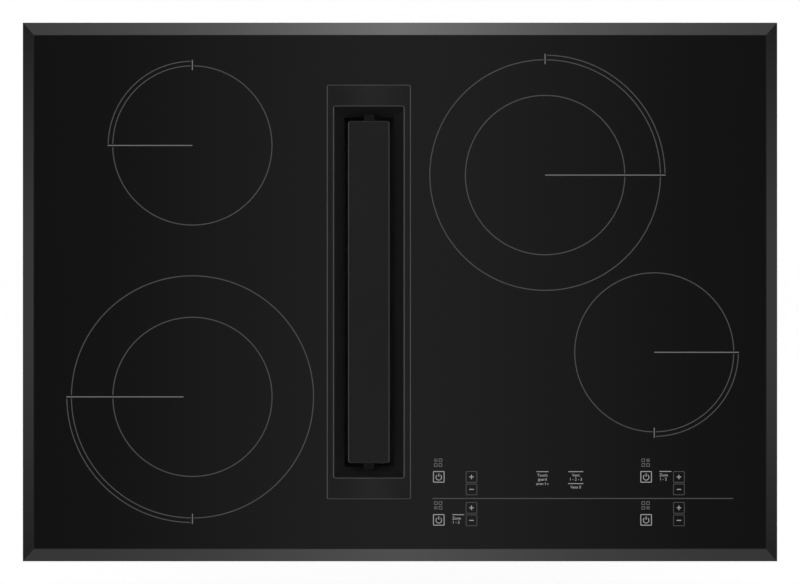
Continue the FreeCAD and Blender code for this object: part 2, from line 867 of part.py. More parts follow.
def control_housing():
    """A moulded tray against the underside of the glass, with posts for its board."""
    body = new_body("control_housing", S.control_x, S.control_y, GLASS_UNDER)
    sketch = new_sketch(body, "XY")
    rectangle(sketch, S.control_width, S.control_depth, S.control_corner)
    pad(body, sketch, S.control_height, reverse=True)
    wall = S.control_wall
    inside = new_sketch(body, "XY")
    rectangle(inside, S.control_width - 2 * wall, S.control_depth - 2 * wall)
    pocket(body, inside, S.control_height - wall)
    posts = new_sketch(body, "XY", wall - S.control_height)
    for a in POST_SHARES:
        for b in POST_SHARES:
            x = (S.control_width - S.post_width) * a
            y = (S.control_depth - S.post_width) * b
            rectangle(posts, S.post_width, S.post_width, x=x, y=y)
    pad(body, posts, S.control_height - wall - S.pad_height - S.board_thick)


def control_board():
    body = new_body("control_board", S.control_x, S.control_y, GLASS_UNDER - S.pad_height)
    sketch = new_sketch(body, "XY")
    slack = 2 * (S.control_wall + S.board_gap)
    rectangle(sketch, S.control_width - slack, S.control_depth - slack)
    pad(body, sketch, S.board_thick, reverse=True)


def touch_pads():
    """Sprung contact blocks between the board and the glass, one under each key."""
    body = new_body("touch_pads", y=S.upper_key_y, z=GLASS_UNDER)
    sketch = new_sketch(body, "XY")
    low = -S.key_row_gap
    for x in (S.left_key_x, S.right_key_x):
        for y in (0, low):
            rectangle(sketch, S.pad_side, S.pad_side, x=x, y=y)
    for x in (S.left_scale_x, S.right_scale_x):
        for y in (0, -S.key_pitch, low + S.key_pitch, low):
            rectangle(sketch, S.pad_side, S.pad_side, x=x, y=y)
    for x in (S.middle_key_x, S.fan_key_x):
        rectangle(sketch, S.pad_side, S.pad_side, x=x, y=0)
    rectangle(sketch, S.pad_side, S.pad_side, x=S.fan_key_x, y=-S.key_pitch)
    pad(body, sketch, S.pad_height, reverse=True)


def relay_board_tray():
    body = new_body("relay_board_tray", S.tray_x, S.tray_y, FLOOR_TOP)
    sketch = new_sketch(body, "XY")
    rectangle(sketch, S.tray_width, S.tray_depth)
    pad(body, sketch, S.tray_lip)
    gauge = S.tray_gauge
    inside = new_sketch(body, "XY", S.tray_lip)
    rectangle(inside, S.tray_width - 2 * gauge, S.tray_depth - 2 * gauge)
    pocket(body, inside, S.tray_lip - gauge)
    posts = new_sketch(body, "XY", gauge)
    for a in POST_SHARES:
        for b in POST_SHARES:
            x = (S.tray_width - S.post_width) * a
            y = (S.tray_depth - S.post_width) * b
            rectangle(posts, S.post_width, S.post_width, x=x, y=y)
    pad(body, posts, S.relay_lift - gauge)


def relay_board():
    """The power board: a row of relays and a transformer."""
    body = new_body("relay_board", S.tray_x, S.tray_y, FLOOR_TOP + S.relay_lift)
    width = S.tray_width - 2 * S.relay_board_margin
    depth = S.tray_depth - 2 * S.relay_board_margin
    sketch = new_sketch(body, "XY")
    rectangle(sketch, width, depth)
    pad(body, sketch, S.board_thick)
    relay = new_sketch(body, "XY", S.board_thick)
    side = S.relay_side
    rectangle(relay, side, side, x=side - width / 2, y=depth / 2 - side)
    block = pad(body, relay, S.relay_height)
    span = S.relay_pitch * (S.relay_count - 1)
    row_copies(body, block, relay, span, S.relay_count)
    core = new_sketch(body, "XY", S.board_thick)
    side = S.transformer_side
    rectangle(core, side, side, x=side - width / 2, y=side - depth / 2)
    pad(body, core, S.transformer_height)


def junction_box():
    body = new_body("junction_box", S.junction_x, S.junction_y, FLOOR_TOP)
    sketch = new_sketch(body, "XY")
    rectangle(sketch, S.junction_width, S.junction_depth)
    pad(body, sketch, S.junction_height)
    gauge = S.junction_gauge
    inside = new_sketch(body, "XY", S.junction_height)
    rectangle(inside, S.junction_width - 2 * gauge, S.junction_depth - 2 * gauge)
    pocket(body, inside, S.junction_height - gauge)
    hole = new_sketch(body, "XY", gauge)
    circle(hole, S.conduit_body + S.cover_slack)
    pocket(body, hole, gauge)


def junction_cover():
    """A lid whose lip goes down outside the box."""
    top = FLOOR_TOP + S.junction_height
    body = new_body("junction_cover", S.junction_x, S.junction_y, top)
    gauge = S.junction_gauge
    grow = 2 * (S.cover_slack + gauge)
    sketch = new_sketch(body, "XY", gauge)
    rectangle(sketch, S.junction_width + grow, S.junction_depth + grow)
    pad(body, sketch, gauge + S.cover_lip, reverse=True)
    inside = new_sketch(body, "XY", -S.cover_lip)
    slack = 2 * S.cover_slack
    rectangle(inside, S.junction_width + slack, S.junction_depth + slack)
    pocket(body, inside, S.cover_lip, reverse=True)


def conduit_connector():
    """The supply's threaded connector through both floors, with a nut on each side."""
    body = new_body("conduit_connector", S.junction_x, S.junction_y, BOX_BOTTOM)
    inside = S.box_gauge + S.junction_gauge
    tube = new_sketch(body, "XY", -S.conduit_length)
    circle(tube, S.conduit_body)
    pad(body, tube, S.conduit_length + inside + S.conduit_nut_thick)
    for level in (-S.conduit_nut_thick, inside):
        nut = new_sketch(body, "XY", level)
        hexagon(nut, S.conduit_nut)
        pad(body, nut, S.conduit_nut_thick)
    bore = new_sketch(body, "XY", inside + S.conduit_nut_thick)
    circle(bore, S.conduit_bore)
    pocket(body, bore, S.conduit_length + inside + S.conduit_nut_thick)


# Grille


def funnel_half(z):
    """Half the funnel's inner length or width less the opening's half, at height z."""
    return -(GLASS_TOP - z) * S.funnel_run / S.funnel_drop


def grille_frame():
    """A plate crowned across its width, with a long opening that funnels down."""
    body = new_body("grille_frame", S.vent_x, 0, GLASS_TOP)
    half = GRILLE_WIDTH / 2
    sketch = new_sketch(body, "XZ")
    crown = S.grille_crown
    rise = half * half / (2 * crown) - crown / 2
    radius = rise + crown
    tilt = math.atan2(float(half), float(rise))
    quarter = math.pi / 2
    line = Part.LineSegment
    low = sketch.addGeometry(line(V(-float(half), 0, 0), V(float(half), 0, 0)), False)
    edge = float(S.grille_edge)
    right = sketch.addGeometry(line(V(float(half), 0, 0), V(float(half), edge, 0)), False)
    top = add_arc(sketch, 0, S.grille_edge - rise, radius, quarter - tilt, quarter + tilt)
    left = sketch.addGeometry(line(V(-float(half), edge, 0), V(-float(half), 0, 0)), False)
    for here, spot, after, end in (
        (low, 2, right, 1), (right, 2, top, 1), (top, 2, left, 1), (left, 2, low, 1),
    ):
        sketch.addConstraint(Sketcher.Constraint("Coincident", here, spot, after, end))
    pin_point(sketch, low, 1, -half, 0)
    pin_point(sketch, low, 2, half, 0)
    pin_point(sketch, right, 2, half, S.grille_edge)
    pin_point(sketch, left, 1, -half, S.grille_edge)
    measure(sketch, "Radius", top, radius)
    pad(body, sketch, GRILLE_LENGTH, both=True)
    fillet(body, upright, S.opening_corner)
    skin = 2 * S.skin
    run = 2 * S.funnel_run
    width = S.opening_width
    length = S.opening_length
    high = new_sketch(body, "XY")
    rectangle(high, width + skin, length + skin, S.opening_corner)
    low = new_sketch(body, "XY", -S.funnel_drop)
    rectangle(low, width + skin - run, length + skin - run, S.opening_corner)
    loft(body, high, low)
    hole = new_sketch(body, "XY", S.grille_edge + crown)
    rectangle(hole, width, length, S.opening_corner)
    pocket(body, hole, S.grille_edge + crown)
    high = new_sketch(body, "XY")
    rectangle(high, width, length, S.opening_corner)
    low = new_sketch(body, "XY", -S.funnel_drop)
    rectangle(low, width - run, length - run, S.opening_corner)
    loft(body, high, low, "SubtractiveLoft")


BAR_TOP = GLASS_TOP + S.grille_edge + S.grille_crown - S.bar_below
BAR_UNDER = BAR_TOP - S.bar_depth


def grille_cover_bar():
    """A pressed channel with closed ends that hides the filter and leaves a slot all round."""
    body = new_body("grille_cover_bar", S.vent_x, 0, BAR_UNDER)
    sketch = new_sketch(body, "XY")
    rectangle(sketch, BAR_WIDTH, BAR_LENGTH, S.bar_corner)
    pad(body, sketch, S.bar_depth)
    fillet(body, edges_at(UP, S.bar_depth), S.bar_round)
    inside = new_sketch(body, "XY")
    skin = 2 * S.skin
    rectangle(inside, BAR_WIDTH - skin, BAR_LENGTH - skin, S.bar_corner - S.skin)
    pocket(body, inside, S.bar_depth - S.skin, reverse=True)


def grille_brackets():
    """A stepped strap at each end of the bar, from under its top down onto the funnel."""
    gauge = S.bracket_gauge
    top = BAR_TOP - S.skin
    slope = S.funnel_run / S.funnel_drop
    lean = gauge * root(1 + slope * slope)
    half = S.opening_length / 2
    riser = BAR_LENGTH / 2 - S.bracket_inset
    level = BAR_UNDER - S.bracket_drop
    foot = level - S.bracket_foot
    body = new_body("grille_brackets", S.vent_x, 0, 0)
    sketch = new_sketch(body, "YZ")
    outline(sketch, [
        (riser - S.bracket_tab, top - gauge), (riser - gauge, top - gauge),
        (riser - gauge, level - gauge),
        (half + funnel_half(level - gauge) - lean, level - gauge),
        (half + funnel_half(foot) - lean, foot), (half + funnel_half(foot), foot),
        (half + funnel_half(level), level), (riser, level), (riser, top),
        (riser - S.bracket_tab, top),
    ])
    strap = pad(body, sketch, S.bracket_width, both=True)
    mirror_copy(body, [strap], sketch)


# Vent chamber, filter and plenum


def vent_chamber_gasket():
    body = new_body("vent_chamber_gasket", S.vent_x, 0, CHAMBER_TOP)
    flange = 2 * S.chamber_flange
    sketch = new_sketch(body, "XY")
    rectangle(sketch, CHAMBER_OUT_WIDTH + flange, CHAMBER_OUT_LENGTH + flange)
    rectangle(sketch, CHAMBER_WIDTH, CHAMBER_LENGTH, S.chamber_corner)
    pad(body, sketch, S.gasket_thick)


def vent_chamber():
    """A folded duct under the slot, with a flange turned out under the glass."""
    body = new_body("vent_chamber", S.vent_x, 0, CHAMBER_TOP)
    outer = S.chamber_corner + S.duct_gauge
    sketch = new_sketch(body, "XY")
    rectangle(sketch, CHAMBER_OUT_WIDTH, CHAMBER_OUT_LENGTH, outer)
    pad(body, sketch, S.chamber_drop, reverse=True)
    flange = new_sketch(body, "XY")
    grow = 2 * S.chamber_flange
    rectangle(flange, CHAMBER_OUT_WIDTH + grow, CHAMBER_OUT_LENGTH + grow)
    pad(body, flange, S.duct_gauge, reverse=True)
    inside = new_sketch(body, "XY")
    rectangle(inside, CHAMBER_WIDTH, CHAMBER_LENGTH, S.chamber_corner)
    pocket(body, inside, S.chamber_drop)


FILTER_LENGTH = CHAMBER_LENGTH - 2 * S.filter_end_gap
FILTER_RUN = S.filter_slant * cosine(S.filter_tilt_angle)
FILTER_RISE = S.filter_slant * sine(S.filter_tilt_angle)
FILTER_SIDE = S.filter_thick * sine(S.filter_tilt_angle)
FILTER_LIFT = S.filter_thick * cosine(S.filter_tilt_angle)
FILTER_Z = -S.filter_top - (FILTER_RISE + FILTER_LIFT) / 2
FILTER_LOW = -S.filter_top - FILTER_RISE - FILTER_LIFT


def filter_body(label):
    """A body whose sketches lie in the plane of the leaning filter."""
    return new_body(label, S.vent_x, 0, FILTER_Z, ALONG_Y, -S.filter_tilt_angle)


def filter_frame():
    body = filter_body("filter_frame")
    border = 2 * S.filter_border
    sketch = new_sketch(body, "XY")
    rectangle(sketch, S.filter_slant, FILTER_LENGTH)
    pad(body, sketch, S.filter_thick, both=True)
    hole = new_sketch(body, "XY")
    rectangle(hole, S.filter_slant - border, FILTER_LENGTH - border)
    pocket(body, hole, S.filter_thick, both=True)
    groove = new_sketch(body, "XY")
    border = border - 2 * S.filter_groove
    rectangle(groove, S.filter_slant - border, FILTER_LENGTH - border)
    pocket(body, groove, S.filter_mesh_thick, both=True)


def filter_mesh():
    """The pack of expanded mesh, held in the frame's groove."""
    body = filter_body("filter_mesh")
    border = 2 * (S.filter_border - S.filter_groove)
    sketch = new_sketch(body, "XY")
    rectangle(sketch, S.filter_slant - border, FILTER_LENGTH - border)
    pad(body, sketch, S.filter_mesh_thick, both=True)


def filter_rails():
    """A ledge under the filter's lower edge and a stop rail beside its upper edge."""
    gauge = S.duct_gauge
    run = FILTER_LENGTH - 2 * S.rail_end_gap
    wall = CHAMBER_OUT_WIDTH / 2 + S.sleeve_gap
    shelf = FILTER_LOW - S.filter_seat
    ledge = new_body("filter_ledge", S.vent_x, 0, shelf, node=False)
    sketch = new_sketch(ledge, "XZ")
    outline(sketch, [
        (-wall, -S.ledge_lip), (gauge - wall, -S.ledge_lip), (gauge - wall, -gauge),
        (S.ledge_width - wall, -gauge), (S.ledge_width - wall, 0), (-wall, 0),
    ])
    pad(ledge, sketch, run, both=True)
    wall = CHAMBER_WIDTH / 2
    edge = (FILTER_RUN + FILTER_SIDE) / 2 + S.filter_seat
    side = -S.filter_top - FILTER_LIFT
    stop = new_body("filter_stop", S.vent_x, 0, side, node=False)
    sketch = new_sketch(stop, "XZ")
    outline(sketch, [
        (wall, -S.ledge_lip), (wall, S.ledge_lip), (wall - gauge, S.ledge_lip),
        (edge, S.ledge_lip / 2), (edge, -S.ledge_lip / 2), (wall - gauge, -S.ledge_lip),
    ])
    pad(stop, sketch, run, both=True)
    new_group("filter_rails", [ledge, stop])


def plenum():
    """A sheet-metal duct that narrows downward, open at the top, with the fan's inlet in its side."""
    top = BOX_BOTTOM
    body = new_body("plenum", S.vent_x, 0, top)
    half = PLENUM_LENGTH / 2 + S.duct_gauge
    foot = S.plenum_foot / 2
    bend = -S.plenum_straight
    deep = -(S.plenum_bottom + top)
    sketch = new_sketch(body, "YZ")
    outline(sketch, [
        (-foot, deep), (foot, deep), (foot, bend - S.plenum_taper), (half, bend),
        (half, 0), (-half, 0), (-half, bend), (-foot, bend - S.plenum_taper),
    ])
    pad(body, sketch, PLENUM_WIDTH + 2 * S.duct_gauge, both=True)
    shell(body, faces_along(UP, 0), S.duct_gauge)
    flange = new_sketch(body, "XY")
    grow = 2 * S.plenum_flange
    rectangle(flange, PLENUM_WIDTH + grow, PLENUM_LENGTH + grow)
    rectangle(flange, PLENUM_WIDTH, PLENUM_LENGTH)
    pad(body, flange, S.duct_gauge, reverse=True)
    inlet = new_sketch(body, "YZ", PLENUM_WIDTH / 2 + S.duct_gauge + S.overrun)
    circle(inlet, S.inlet_radius, 0, S.wheel_z - top)
    pocket(body, inlet, S.duct_gauge + 2 * S.overrun)
    drain = new_sketch(body, "XY", deep + S.duct_gauge)
    circle(drain, S.drain_radius, 0, S.drain_y)
    pocket(body, drain, S.duct_gauge)
    lip = new_sketch(body, "XY", deep)
    circle(lip, S.drain_radius + S.duct_gauge, 0, S.drain_y)
    circle(lip, S.drain_radius, 0, S.drain_y)
    pad(body, lip, S.drain_lip, reverse=True)


def drip_cup():
    """A drawn cup that catches what runs down the plenum."""
    body = new_body("drip_cup", S.vent_x, S.drain_y, -S.plenum_bottom - S.cup_gap)
    wide = S.cup_radius
    wall = S.cup_wall
    rim = wide + S.cup_rim
    deep = -S.cup_depth
    sketch = new_sketch(body, "XZ")
    outline(sketch, [
        (0, deep), (wide, deep), (wide, -wall), (rim, -wall), (rim, 0), (wide - wall, 0),
        (wide - wall, deep + wall), (0, deep + wall),
    ])
    revolve(body, sketch)


# Blower


def volute(sketch, grow=0):
    """The scroll's outline: quarter arcs that widen by one step each, and a straight outlet.

    The centres stand on the corners of a square about the shaft, so the arcs meet smoothly.
    """
    half = S.scroll_step / 2
    cut = S.tongue_y - grow
    right = SCROLL_RIGHT + grow
    mouth = -S.scroll_mouth
    centres = ((half, -half), (half, half), (-half, half), (-half, -half))
    radii = [S.scroll_first + S.scroll_step * step + grow for step in (3, 2, 1, 0)]
    tongue = math.asin(float(cut + half) / float(radii[3]))
    quarter = math.pi / 2
    arcs = []
    for turn, ((x, y), radius) in enumerate(zip(centres, radii)):
        sweep = tongue if turn == 3 else quarter
        arc = add_arc(sketch, x, y, radius, quarter * turn, quarter * turn + sweep)
        pin_point(sketch, arc, 3, x, y)
        arcs.append(arc)
    measure(sketch, "Radius", arcs[0], radii[0])
    for here, after in zip(arcs, arcs[1:]):
        sketch.addConstraint(Sketcher.Constraint("Tangent", here, 2, after, 1))
    low = float(-half) - float(radii[3]) * math.cos(tongue)
    corners = [V(float(cut), low, 0), V(float(cut), float(mouth), 0)]
    corners += [V(float(right), float(mouth), 0), V(float(right), -float(half), 0)]
    left, foot, side = (
        sketch.addGeometry(Part.LineSegment(a, b), False) for a, b in zip(corners, corners[1:])
    )
    sketch.addConstraint(Sketcher.Constraint("Coincident", arcs[3], 2, left, 1))
    sketch.addConstraint(Sketcher.Constraint("Coincident", left, 2, foot, 1))
    sketch.addConstraint(Sketcher.Constraint("Coincident", foot, 2, side, 1))
    sketch.addConstraint(Sketcher.Constraint("Tangent", side, 2, arcs[0], 1))
    sketch.addConstraint(Sketcher.Constraint("Vertical", left))
    sketch.addConstraint(Sketcher.Constraint("Vertical", side))
    pin_point(sketch, foot, 1, cut, mouth)
    measure(sketch, "DistanceY", -1, 1, foot, 2, mouth)


def scroll_wrap():
    """The sheet that wraps the wheel, open at both sides and at the outlet."""
    body = new_body("scroll_wrap", SCROLL_START, 0, S.wheel_z)
    sketch = new_sketch(body, "YZ")
    volute(sketch)
    pad(body, sketch, S.scroll_width)
    side = faces_along(ALONG_X, 0)
    far = faces_along(ALONG_X, S.scroll_width)
    mouth = faces_along(UP, -S.scroll_mouth)
    shell(body, lambda f: side(f) or far(f) or mouth(f), S.duct_gauge, inward=False)


def scroll_inlet_plate():
    """The scroll's side on the plenum, with a lip turned in round the wheel's eye."""
    body = new_body("scroll_inlet_plate", PLENUM_FACE, 0, S.wheel_z)
    sketch = new_sketch(body, "YZ")
    volute(sketch, S.plate_margin)
    circle(sketch, S.inlet_ring)
    pad(body, sketch, S.duct_gauge)
    lip = new_sketch(body, "YZ", S.duct_gauge)
    circle(lip, S.inlet_ring + S.duct_gauge)
    circle(lip, S.inlet_ring)
    pad(body, lip, S.inlet_lip)


def scroll_motor_plate():
    body = new_body("scroll_motor_plate", SCROLL_END, 0, S.wheel_z)
    sketch = new_sketch(body, "YZ")
    volute(sketch, S.plate_margin)
    circle(sketch, S.hub_radius)
    pad(body, sketch, S.duct_gauge)


def spun_body(label, start, node=True):
    """A body on the blower's shaft, whose own Z runs along the shaft."""
    return new_body(label, start, 0, S.wheel_z, ALONG_Y, 90, node)


def blade_outline(sketch):
    """One blade's section: a thin arc whose tip leans the way the wheel turns."""
    x = S.blade_centre_r
    y = S.blade_centre_side
    first = math.radians(float(S.blade_first_angle))
    last = math.radians(float(S.blade_last_angle))
    arcs = []
    for radius in (S.blade_arc - S.blade_thick / 2, S.blade_arc + S.blade_thick / 2):
        arc = add_arc(sketch, x, y, radius, first, last)
        pin_point(sketch, arc, 3, x, y)
        measure(sketch, "Radius", arc, radius)
        start_x = x + radius * cosine(S.blade_first_angle)
        end_x = x + radius * cosine(S.blade_last_angle)
        measure(sketch, "DistanceX", -1, 1, arc, 1, start_x)
        measure(sketch, "DistanceX", -1, 1, arc, 2, end_x)
        arcs.append(arc)
    inner, outer = (sketch.Geometry[arc] for arc in arcs)
    for spot, a, b in ((1, inner.StartPoint, outer.StartPoint), (2, inner.EndPoint, outer.EndPoint)):
        line = sketch.addGeometry(Part.LineSegment(a, b), False)
        sketch.addConstraint(Sketcher.Constraint("Coincident", arcs[0], spot, line, 1))
        sketch.addConstraint(Sketcher.Constraint("Coincident", arcs[1], spot, line, 2))


def blower_wheel():
    """A forward-curved wheel: a web with its hub, a ring of blades and a ring at the eye."""
    body = spun_body("blower_wheel", WHEEL_START)
    width = S.wheel_width
    web = new_sketch(body, "XY", width - S.wheel_web)
    circle(web, S.wheel_radius)
    pad(body, web, S.wheel_web)
    hub = new_sketch(body, "XY", width - S.wheel_web)
    circle(hub, S.hub_radius)
    pad(body, hub, S.hub_length, reverse=True)
    ring = new_sketch(body, "XY")
    circle(ring, S.wheel_radius)
    circle(ring, S.wheel_radius - S.wheel_ring)
    blade = new_sketch(body, "XY")
    blade_outline(blade)
    one = pad(body, blade, width - S.wheel_web)
    round_copies(body, one, blade, S.blade_count)
    pad(body, ring, S.wheel_ring_thick)
    bore = new_sketch(body, "XY", width)
    circle(bore, S.shaft_radius + S.shaft_fit)
    pocket(body, bore, S.hub_length + 2 * S.wheel_web)


def motor_rotor():
    """The shaft from the wheel's hub to the rear bearing, with the rotor core on it."""
    body = spun_body("motor_rotor", MOTOR_START)
    start = -(MOTOR_START - WHEEL_END + S.wheel_web + S.hub_length)
    core = S.motor_bell
    core_end = core + S.motor_stack
    end = core_end + S.motor_bell + S.shaft_end
    shaft = S.shaft_radius
    sketch = new_sketch(body, "XZ")
    outline(sketch, [
        (0, start), (shaft, start), (shaft, core), (S.rotor_radius, core),
        (S.rotor_radius, core_end), (shaft, core_end), (shaft, end), (0, end),
    ])
    revolve(body, sketch)


def motor_front_bell():
    """The end shell that is screwed to the scroll, with a socket for its bearing."""
    body = spun_body("motor_front_bell", MOTOR_START)
    outer = S.motor_radius
    wall = S.motor_wall
    flange = outer + S.motor_flange
    socket = S.bearing_radius + S.shaft_fit
    sketch = new_sketch(body, "XZ")
    outline(sketch, [
        (socket, 0), (flange, 0), (flange, S.motor_flange_thick),
        (outer, S.motor_flange_thick), (outer, S.motor_bell), (outer - wall, S.motor_bell),
        (outer - wall, wall), (socket + wall, wall), (socket + wall, S.bearing_length),
        (socket, S.bearing_length),
    ])
    revolve(body, sketch)


def motor_rear_bell():
    """The end shell behind the windings, with slots that let cooling air in."""
    body = spun_body("motor_rear_bell", MOTOR_START + S.motor_bell + S.motor_stack)
    outer = S.motor_radius
    wall = S.motor_wall
    end = S.motor_bell
    socket = S.bearing_radius + S.shaft_fit
    sketch = new_sketch(body, "XZ")
    outline(sketch, [
        (outer - wall, 0), (outer, 0), (outer, end), (socket, end),
        (socket, end - S.bearing_length), (socket + wall, end - S.bearing_length),
        (socket + wall, end - wall), (outer - wall, end - wall),
    ])
    revolve(body, sketch)
    slot = new_sketch(body, "XY", end)
    middle = (socket + outer) / 2
    rectangle(slot, S.cooling_length, S.cooling_width, x=middle)
    cut = pocket(body, slot, wall)
    round_copies(body, cut, slot, S.cooling_slots)


def motor_stator():
    """The stack of laminations between the bells, slotted for its windings."""
    body = spun_body("motor_stator", MOTOR_START + S.motor_bell)
    bore = S.rotor_radius + S.motor_gap
    sketch = new_sketch(body, "XY")
    circle(sketch, S.motor_radius)
    circle(sketch, bore)
    pad(body, sketch, S.motor_stack)
    slot = new_sketch(body, "XY", S.motor_stack)
    depth = S.slot_depth + S.overrun
    rectangle(slot, depth, S.slot_width, x=bore - S.overrun + depth / 2)
    cut = pocket(body, slot, S.motor_stack)
    round_copies(body, cut, slot, S.stator_slots)


def motor_bearings():
    """A bush in each bell."""
    bushes = []
    last = MOTOR_START + 2 * S.motor_bell + S.motor_stack - S.bearing_length
    for name, start in (("front_bush", MOTOR_START), ("rear_bush", last)):
        body = spun_body(name, start, node=False)
        sketch = new_sketch(body, "XY")
        circle(sketch, S.bearing_radius)
        circle(sketch, S.shaft_radius + S.shaft_fit)
        pad(body, sketch, S.bearing_length)
        bushes.append(body)
    new_group("motor_bearings", bushes)


def capacitor():
    z = S.wheel_z + S.capacitor_drop
    body = new_body("capacitor", MOTOR_START, S.capacitor_y, z)
    sketch = new_sketch(body, "YZ")
    circle(sketch, S.capacitor_radius)
    pad(body, sketch, S.capacitor_length)


def capacitor_clamp():
    """A band round the capacitor's foot, with two ears against the scroll's side."""
    z = S.wheel_z + S.capacitor_drop
    body = new_body("capacitor_clamp", MOTOR_START, S.capacitor_y, z)
    bore = S.capacitor_radius + S.shaft_fit
    outer = bore + S.strap_gauge
    band = new_sketch(body, "YZ")
    circle(band, outer)
    pad(body, band, S.strap_width)
    ears = new_sketch(body, "YZ")
    rectangle(ears, 2 * (outer + S.strap_foot), S.strap_width)
    pad(body, ears, S.strap_gauge)
    hole = new_sketch(body, "YZ", S.strap_width)
    circle(hole, bore)
    pocket(body, hole, S.strap_width)


# Outlet


def duct_solid(width, depth, radius, drop):
    """A square end above and a round end below, with a fan of flat bends at each corner."""
    x = float(width) / 2
    y = float(depth) / 2
    radius = float(radius)
    drop = float(drop)
    square = [V(-x, -y, 0), V(x, -y, 0), V(x, y, 0), V(-x, y, 0)]
    bends = int(float(S.outlet_bends))
    bend = math.pi / 2 / bends
    angles = [math.pi + bend * step for step in range(4 * bends + 1)]
    rim = [V(radius * math.cos(a), radius * math.sin(a), -drop) for a in angles]
    rim[-1] = rim[0]
    faces = [Part.Face(Part.makePolygon([*square, square[0]])), Part.Face(Part.makePolygon(rim))]
    for corner, spot in enumerate(square):
        first = corner * bends
        last = first + bends
        across = square[(corner + 1) % 4]
        for a, b in zip(rim[first:last], rim[first + 1:last + 1]):
            faces.append(Part.Face(Part.makePolygon([spot, a, b, spot])))
        faces.append(Part.Face(Part.makePolygon([spot, rim[last], across, spot])))
    solid = Part.Solid(Part.Shell(faces))
    if solid.Volume < 0:
        solid.reverse()
    return solid


def outlet_transition():
    """A square-to-round duct, bent in flats from the scroll's mouth to the collar."""
    gauge = S.duct_gauge
    width = S.scroll_width
    depth = SCROLL_RIGHT - S.tongue_y
    skin = 2 * gauge
    outer = duct_solid(width + skin, depth + skin, S.duct_radius, S.outlet_drop)
    inner = duct_solid(width, depth, S.duct_radius - gauge, S.outlet_drop)
    piece = DOC.addObject("Part::Feature", "outlet_transition")
    piece.Label = "outlet_transition"
    piece.Shape = outer.cut(inner)
    place(piece, OUTLET_X, OUTLET_Y, MOUTH_Z)
    NODES.append(piece)


def outlet_collar():
    """The round spigot for the house duct, with a bead that stops it."""
    body = new_body("outlet_collar", OUTLET_X, OUTLET_Y, COLLAR_BOTTOM)
    outer = S.duct_radius
    inner = outer - S.duct_gauge
    top = S.collar_length
    bead = S.collar_bead
    sketch = new_sketch(body, "XZ")
    outline(sketch, [
        (inner, 0), (outer, 0), (outer, top - 3 * bead), (outer + bead, top - 2 * bead),
        (outer, top - bead), (outer, top), (inner, top),
    ])
    revolve(body, sketch)
    hole = new_sketch(body, "XZ")
    circle(hole, S.damper_pin + S.damper_fit, 0, top - S.damper_rise)
    pocket(body, hole, 2 * (outer + bead), both=True)


def damper_disc():
    """The flap that closes the outlet, with a barrel across it for the pin."""
    body = new_body("damper_disc", OUTLET_X, OUTLET_Y, DAMPER_Z)
    sketch = new_sketch(body, "XY")
    circle(sketch, S.damper_radius)
    pad(body, sketch, S.damper_thick, both=True)
    barrel = new_sketch(body, "XZ")
    circle(barrel, S.damper_pin + S.damper_barrel)
    length = 2 * (S.damper_radius - S.damper_barrel)
    pad(body, barrel, length, both=True)
    bore = new_sketch(body, "XZ")
    circle(bore, S.damper_pin + S.damper_fit)
    pocket(body, bore, 2 * S.duct_radius, both=True)


def damper_pin():
    body = new_body("damper_pin", OUTLET_X, OUTLET_Y, DAMPER_Z)
    sketch = new_sketch(body, "XZ")
    circle(sketch, S.damper_pin)
    pad(body, sketch, 2 * S.duct_radius, both=True)


# Hold-down brackets, clamp screws and other screws


def hold_down(side, sign):
    """A channel under the box's floor that reaches out under the worktop."""
    body = new_body("hold_down_" + side, sign * S.clamp_x, 0, BOX_BOTTOM)
    length = S.clamp_reach + S.clamp_end
    middle = sign * (S.clamp_end - length / 2)
    sketch = new_sketch(body, "XY")
    rectangle(sketch, length, S.clamp_width, x=middle)
    pad(body, sketch, S.clamp_plate + S.clamp_lip, reverse=True)
    inside = new_sketch(body, "XY", -S.clamp_plate)
    rectangle(inside, length, S.clamp_width - 2 * S.clamp_plate, x=middle)
    pocket(body, inside, S.clamp_lip)
    hole = new_sketch(body, "XY")
    circle(hole, S.clamp_thread + S.clamp_fit)
    pocket(body, hole, S.clamp_plate)


def clamp_screw(side, sign):
    """A screw that presses its pad up against the underside of the worktop."""
    body = new_body("clamp_screw_" + side, sign * S.clamp_x, 0, CLAMP_TIP)
    tip = new_sketch(body, "XY")
    circle(tip, S.clamp_pad)
    pad(body, tip, S.clamp_pad_thick, reverse=True)
    rod = new_sketch(body, "XY", -S.clamp_pad_thick)
    circle(rod, S.clamp_thread)
    under = CLAMP_TIP - BOX_BOTTOM + S.clamp_plate + S.clamp_tail
    pad(body, rod, under - S.clamp_pad_thick, reverse=True)
    head = new_sketch(body, "XY", -under)
    hexagon(head, S.clamp_hex)
    pad(body, head, S.clamp_head, reverse=True)


def case_screws():
    """Hexagon heads under the plenum's flange and round the motor's flange."""
    under = new_body("plenum_screws", S.vent_x, 0, BOX_BOTTOM - S.duct_gauge, node=False)
    sketch = new_sketch(under, "XY")
    side = PLENUM_WIDTH / 2 + S.duct_gauge + (S.plenum_flange - S.duct_gauge) / 2
    for x in (-side, side):
        for share in FLANGE_SCREW_SHARES:
            hexagon(sketch, S.screw_head, x, PLENUM_LENGTH * share)
    pad(under, sketch, S.screw_head_thick, reverse=True)
    behind = spun_body("motor_screws", MOTOR_START + S.motor_flange_thick, node=False)
    sketch = new_sketch(behind, "XY")
    radius = S.motor_radius + S.motor_flange / 2
    for turn in range(4):
        angle = 45 + 90 * turn
        hexagon(sketch, S.screw_head, radius * cosine(angle), radius * sine(angle))
    pad(behind, sketch, S.screw_head_thick)
    new_group("case_screws", [under, behind])


